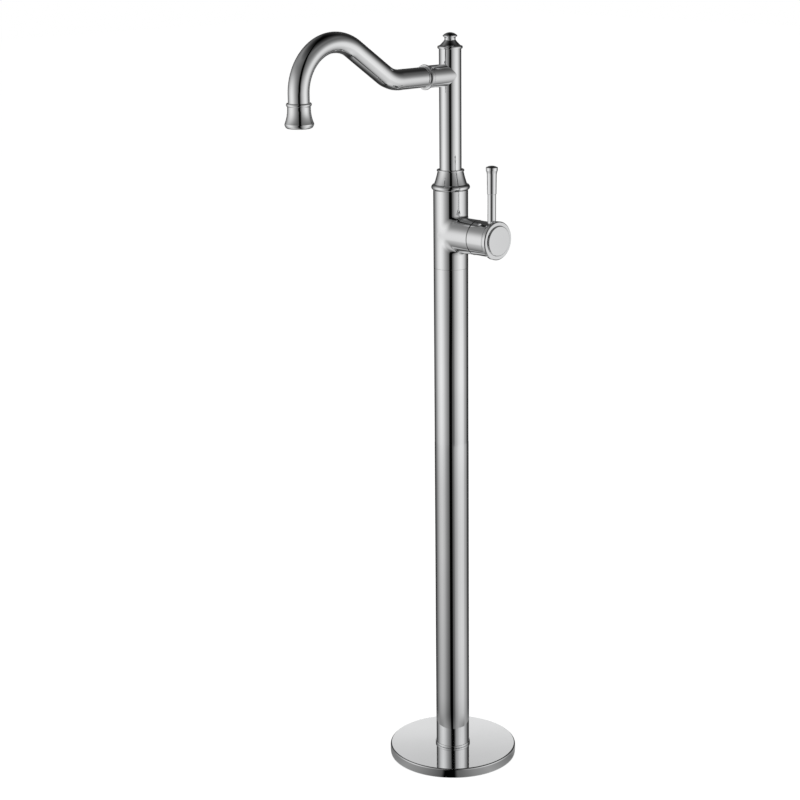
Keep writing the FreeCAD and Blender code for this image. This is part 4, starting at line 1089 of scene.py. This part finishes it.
MAT_RIGHT = [(0.0, 0.45), (0.12, 0.60), (0.21, 0.76), (0.42, 0.83), (0.82, 0.81), (1.2, 0.85), (TENT_R, 0.95)]
MAT_EDGE = (0.10, 0.16)      # metres, from the near mat to the far one
MAT_TOP = (0.001, 0.002)     # height at which the wall takes over
ROOF_EDGE = (TENT_H - 0.02, TENT_H - 0.01)
SIDES_MEET = (-5.0, 5.0)     # degrees over which the left side blends into the right one
# the black card: (height, degrees right of the camera) of its middle, and half its width in degrees
CARD_LINE = [(0.0, -6.0), (0.18, -5.0), (0.34, -1.0), (0.6, -2.0), (0.74, -1.0), (0.9, 4.0), (1.05, 2.5),
             (TENT_H, 2.5)]
CARD_SWING = 10.0            # the most that its middle stands aside
CARD_HALF = 9.5
CARD_HALF_NEAR = 6.2         # seen in the cover's edge
CARD_SHIFT_NEAR = 2.6
CARD_AWAY = (0.09, 0.2)      # metres, from near to far
CARD_BLUR = (-1.5, 2.5)
CARD_LEVEL = 0.02
print("the black card is", 2 * CARD_HALF, "degrees wide, and", 2 * CARD_HALF_NEAR, "near the tap")

# %% Material of the tent


def ramp(tree, stops, low, high, source):
    """A grey level that follows stops (place, level), with places between low and high."""
    node = add_node(tree, "ShaderNodeValToRGB", {"Fac": mapped(tree, source, low, high)})
    band = node.color_ramp
    for _ in range(len(stops) - 2):
        band.elements.new(0.5)
    for element, (place, level) in zip(band.elements, stops):
        element.position = (place - low) / (high - low)
        element.color = (level, level, level, 1.0)
    return node.outputs["Color"]


def emptied_tree(owner):
    """The node tree of a new material or world, with nothing in it yet."""
    owner.use_nodes = True
    owner.node_tree.nodes.clear()
    return owner.node_tree


def make_tent_material():
    material = bpy.data.materials.new("tent_panels")
    tree = emptied_tree(material)
    place = add_node(tree, "ShaderNodeTexCoord").outputs["Object"]
    spin = math.radians(90 - CAMERA_ROUND)
    facing = add_node(tree, "ShaderNodeMapping", {"Vector": place, "Rotation": (0, 0, spin)})
    parts = add_node(tree, "ShaderNodeSeparateXYZ", {"Vector": facing.outputs["Vector"]}).outputs
    height = parts["Z"]
    turn = maths(tree, "DEGREES", maths(tree, "ARCTAN2", parts["Y"], parts["X"]))
    out = maths(tree, "SQRT", maths(tree, "ADD", maths(tree, "POWER", parts["X"], 2.0),
                                    maths(tree, "POWER", parts["Y"], 2.0)))

    def times(a, b):
        return maths(tree, "MULTIPLY", a, b)

    def blend(share, a, b):
        """A level that goes from a to b as share goes from 0 to 1."""
        node = add_node(tree, "ShaderNodeMix", {"Factor": share, "A": a, "B": b}, data_type="FLOAT")
        return node.outputs["Result"]

    def step_up(source, start, end):
        """0 below start and 1 above end, smoothly."""
        return mapped(tree, source, start, end, kind="SMOOTHSTEP")

    def round_tent(stops):
        return ramp(tree, stops, -180, 180, turn)

    def by_height(stops):
        return ramp(tree, stops, 0.0, TENT_H, height)

    def by_distance(stops):
        return ramp(tree, stops, 0.0, TENT_R, out)

    right = step_up(turn, *SIDES_MEET)
    # the wall: bright low down and dim high up, with one lower panel behind the tap
    rise = blend(right, by_height(RISE_LEFT), by_height(RISE_RIGHT))
    wall = blend(rise, round_tent(LOW_WALL), round_tent(HIGH_WALL))
    wall = times(wall, by_height(WALL_FOOT))
    is_behind = step_up(maths(tree, "ABSOLUTE", turn), *PANEL_EDGE)
    panel = times(by_height(BACK_PANEL), PANEL_LEVEL)
    wall = blend(is_behind, wall, panel)
    # the roof goes dark towards its middle
    overhead = step_up(height, *ROOF_EDGE)
    fade = maths(tree, "POWER", maths(tree, "DIVIDE", out, TENT_R), 2.0)
    wall = times(wall, blend(overhead, 1.0, fade))
    # the mat: shaded by the tap close to its base
    shade = blend(right, by_distance(MAT_LEFT), by_distance(MAT_RIGHT))
    far = times(round_tent(FAR_MAT), shade)
    mat = blend(step_up(out, *MAT_EDGE), round_tent(NEAR_MAT), far)
    level = blend(step_up(height, *MAT_TOP), mat, wall)
    # the black card stands a little left of the camera low down, and right of it higher up. A
    # ramp holds only levels from 0 to 1, so its line is squeezed into them and spread again
    squeezed = [(place, (side + CARD_SWING) / (2 * CARD_SWING)) for place, side in CARD_LINE]
    centre = maths(tree, "SUBTRACT", times(by_height(squeezed), 2 * CARD_SWING), CARD_SWING)
    away = step_up(out, *CARD_AWAY)
    centre = maths(tree, "ADD", centre, blend(away, CARD_SHIFT_NEAR, 0.0))
    aside = maths(tree, "ABSOLUTE", maths(tree, "SUBTRACT", turn, centre))
    half = blend(away, CARD_HALF_NEAR, CARD_HALF)
    card = step_up(maths(tree, "SUBTRACT", aside, half), *CARD_BLUR)
    level = times(level, blend(card, CARD_LEVEL, 1.0))
    glow = add_node(tree, "ShaderNodeEmission", {"Color": level})
    add_node(tree, "ShaderNodeOutputMaterial", {"Surface": glow.outputs["Emission"]})
    return material


tent_panels = make_tent_material()
print("tent light has", len(tent_panels.node_tree.nodes), "nodes")

# %% Build the tent


def stage_object(name, verts, faces, material):
    mesh = bpy.data.meshes.new(name)
    mesh.from_pydata(verts, [], faces)
    mesh.materials.append(material)
    obj = link_object(name, mesh)
    return obj


tent_outline = [(MAT_HOLE_R, MAT_LIFT), (TENT_R, MAT_LIFT), (TENT_R, TENT_H), (0, TENT_H)]
tent_verts, _, tent_faces = turned([(Vector(point), (0, 1)) for point in tent_outline], 128)
tent = stage_object("reflection_tent", tent_verts, tent_faces, tent_panels)
for ray in ("camera", "diffuse", "transmission", "volume_scatter", "shadow"):
    setattr(tent, "visible_" + ray, False)
print("tent", len(tent.data.polygons), "faces")

# %% [markdown]
# ## White floor and background
# A pure white background is a colour, not more lamps: rays that come straight from the camera,
# or off metal and through glass, find a white of strength 1. The floor adds a little real,
# lit surface, so that the tap keeps a soft contact shadow.

# %% Floor and world
FLOOR_HALF = 12.0
FLOOR_GLOW = 0.905
FLOOR_GREY = 0.2
BOUNCE_GREY = 0.8            # the floor's colour for light that it passes on
ROOM_GREY, ROOM_STRENGTH = 0.9, 0.55


def grey(level):
    return (level, level, level, 1)


def by_ray(tree, otherwise, direct):
    """The direct shader for camera, glossy and transmission rays, or else the other one."""
    rays = add_node(tree, "ShaderNodeLightPath").outputs
    seen = maths(tree, "MAXIMUM", rays["Is Camera Ray"], rays["Is Glossy Ray"])
    seen = maths(tree, "MAXIMUM", seen, rays["Is Transmission Ray"])
    return add_node(tree, "ShaderNodeMixShader", {"Fac": seen, 1: otherwise, 2: direct}).outputs["Shader"]


def make_floor_material():
    material = bpy.data.materials.new("white_floor")
    tree = emptied_tree(material)
    lit, plain = (add_node(tree, "ShaderNodeBsdfDiffuse", {"Color": grey(level)}).outputs["BSDF"]
                  for level in (FLOOR_GREY, BOUNCE_GREY))
    glow = add_node(tree, "ShaderNodeEmission", {"Strength": FLOOR_GLOW}).outputs["Emission"]
    white = add_node(tree, "ShaderNodeAddShader", {0: lit, 1: glow}).outputs["Shader"]
    add_node(tree, "ShaderNodeOutputMaterial", {"Surface": by_ray(tree, plain, white)})
    return material


def make_world():
    world = bpy.data.worlds.new("studio")
    tree = emptied_tree(world)
    room = add_node(tree, "ShaderNodeBackground", {"Color": grey(ROOM_GREY), "Strength": ROOM_STRENGTH})
    white = add_node(tree, "ShaderNodeBackground", {"Color": grey(1), "Strength": 1.0})
    surface = by_ray(tree, room.outputs["Background"], white.outputs["Background"])
    add_node(tree, "ShaderNodeOutputWorld", {"Surface": surface})
    bpy.context.scene.world = world
    bpy.context.scene.view_settings.view_transform = "Standard"


floor_corners = [(FLOOR_HALF * x, FLOOR_HALF * y, 0) for x, y in ((-1, -1), (1, -1), (1, 1), (-1, 1))]
stage_object("floor", floor_corners, [[0, 1, 2, 3]], make_floor_material())
make_world()
print("floor glow", FLOOR_GLOW, "and world ready")

# %% Lamps
LAMP_SIZE = 1.6
LAMP_AIM = Vector((0, 0, 0.5))


def make_lamp(name, place, power):
    """A square soft lamp. Reflections come from the tent, so metal doesn't mirror the lamp."""
    data = bpy.data.lights.new(name, "AREA")
    data.shape = "SQUARE"
    data.size = LAMP_SIZE
    data.energy = power
    lamp = link_object(name, data)
    lamp.location = place
    lamp.rotation_euler = (LAMP_AIM - Vector(place)).to_track_quat("-Z", "Y").to_euler()
    lamp.visible_glossy = False
    return lamp


lamps = [make_lamp("key", (-0.6, -2.4, 2.2), 34), make_lamp("fill", (2.4, 0.8, 1.8), 26)]
print(len(lamps), "lamps")
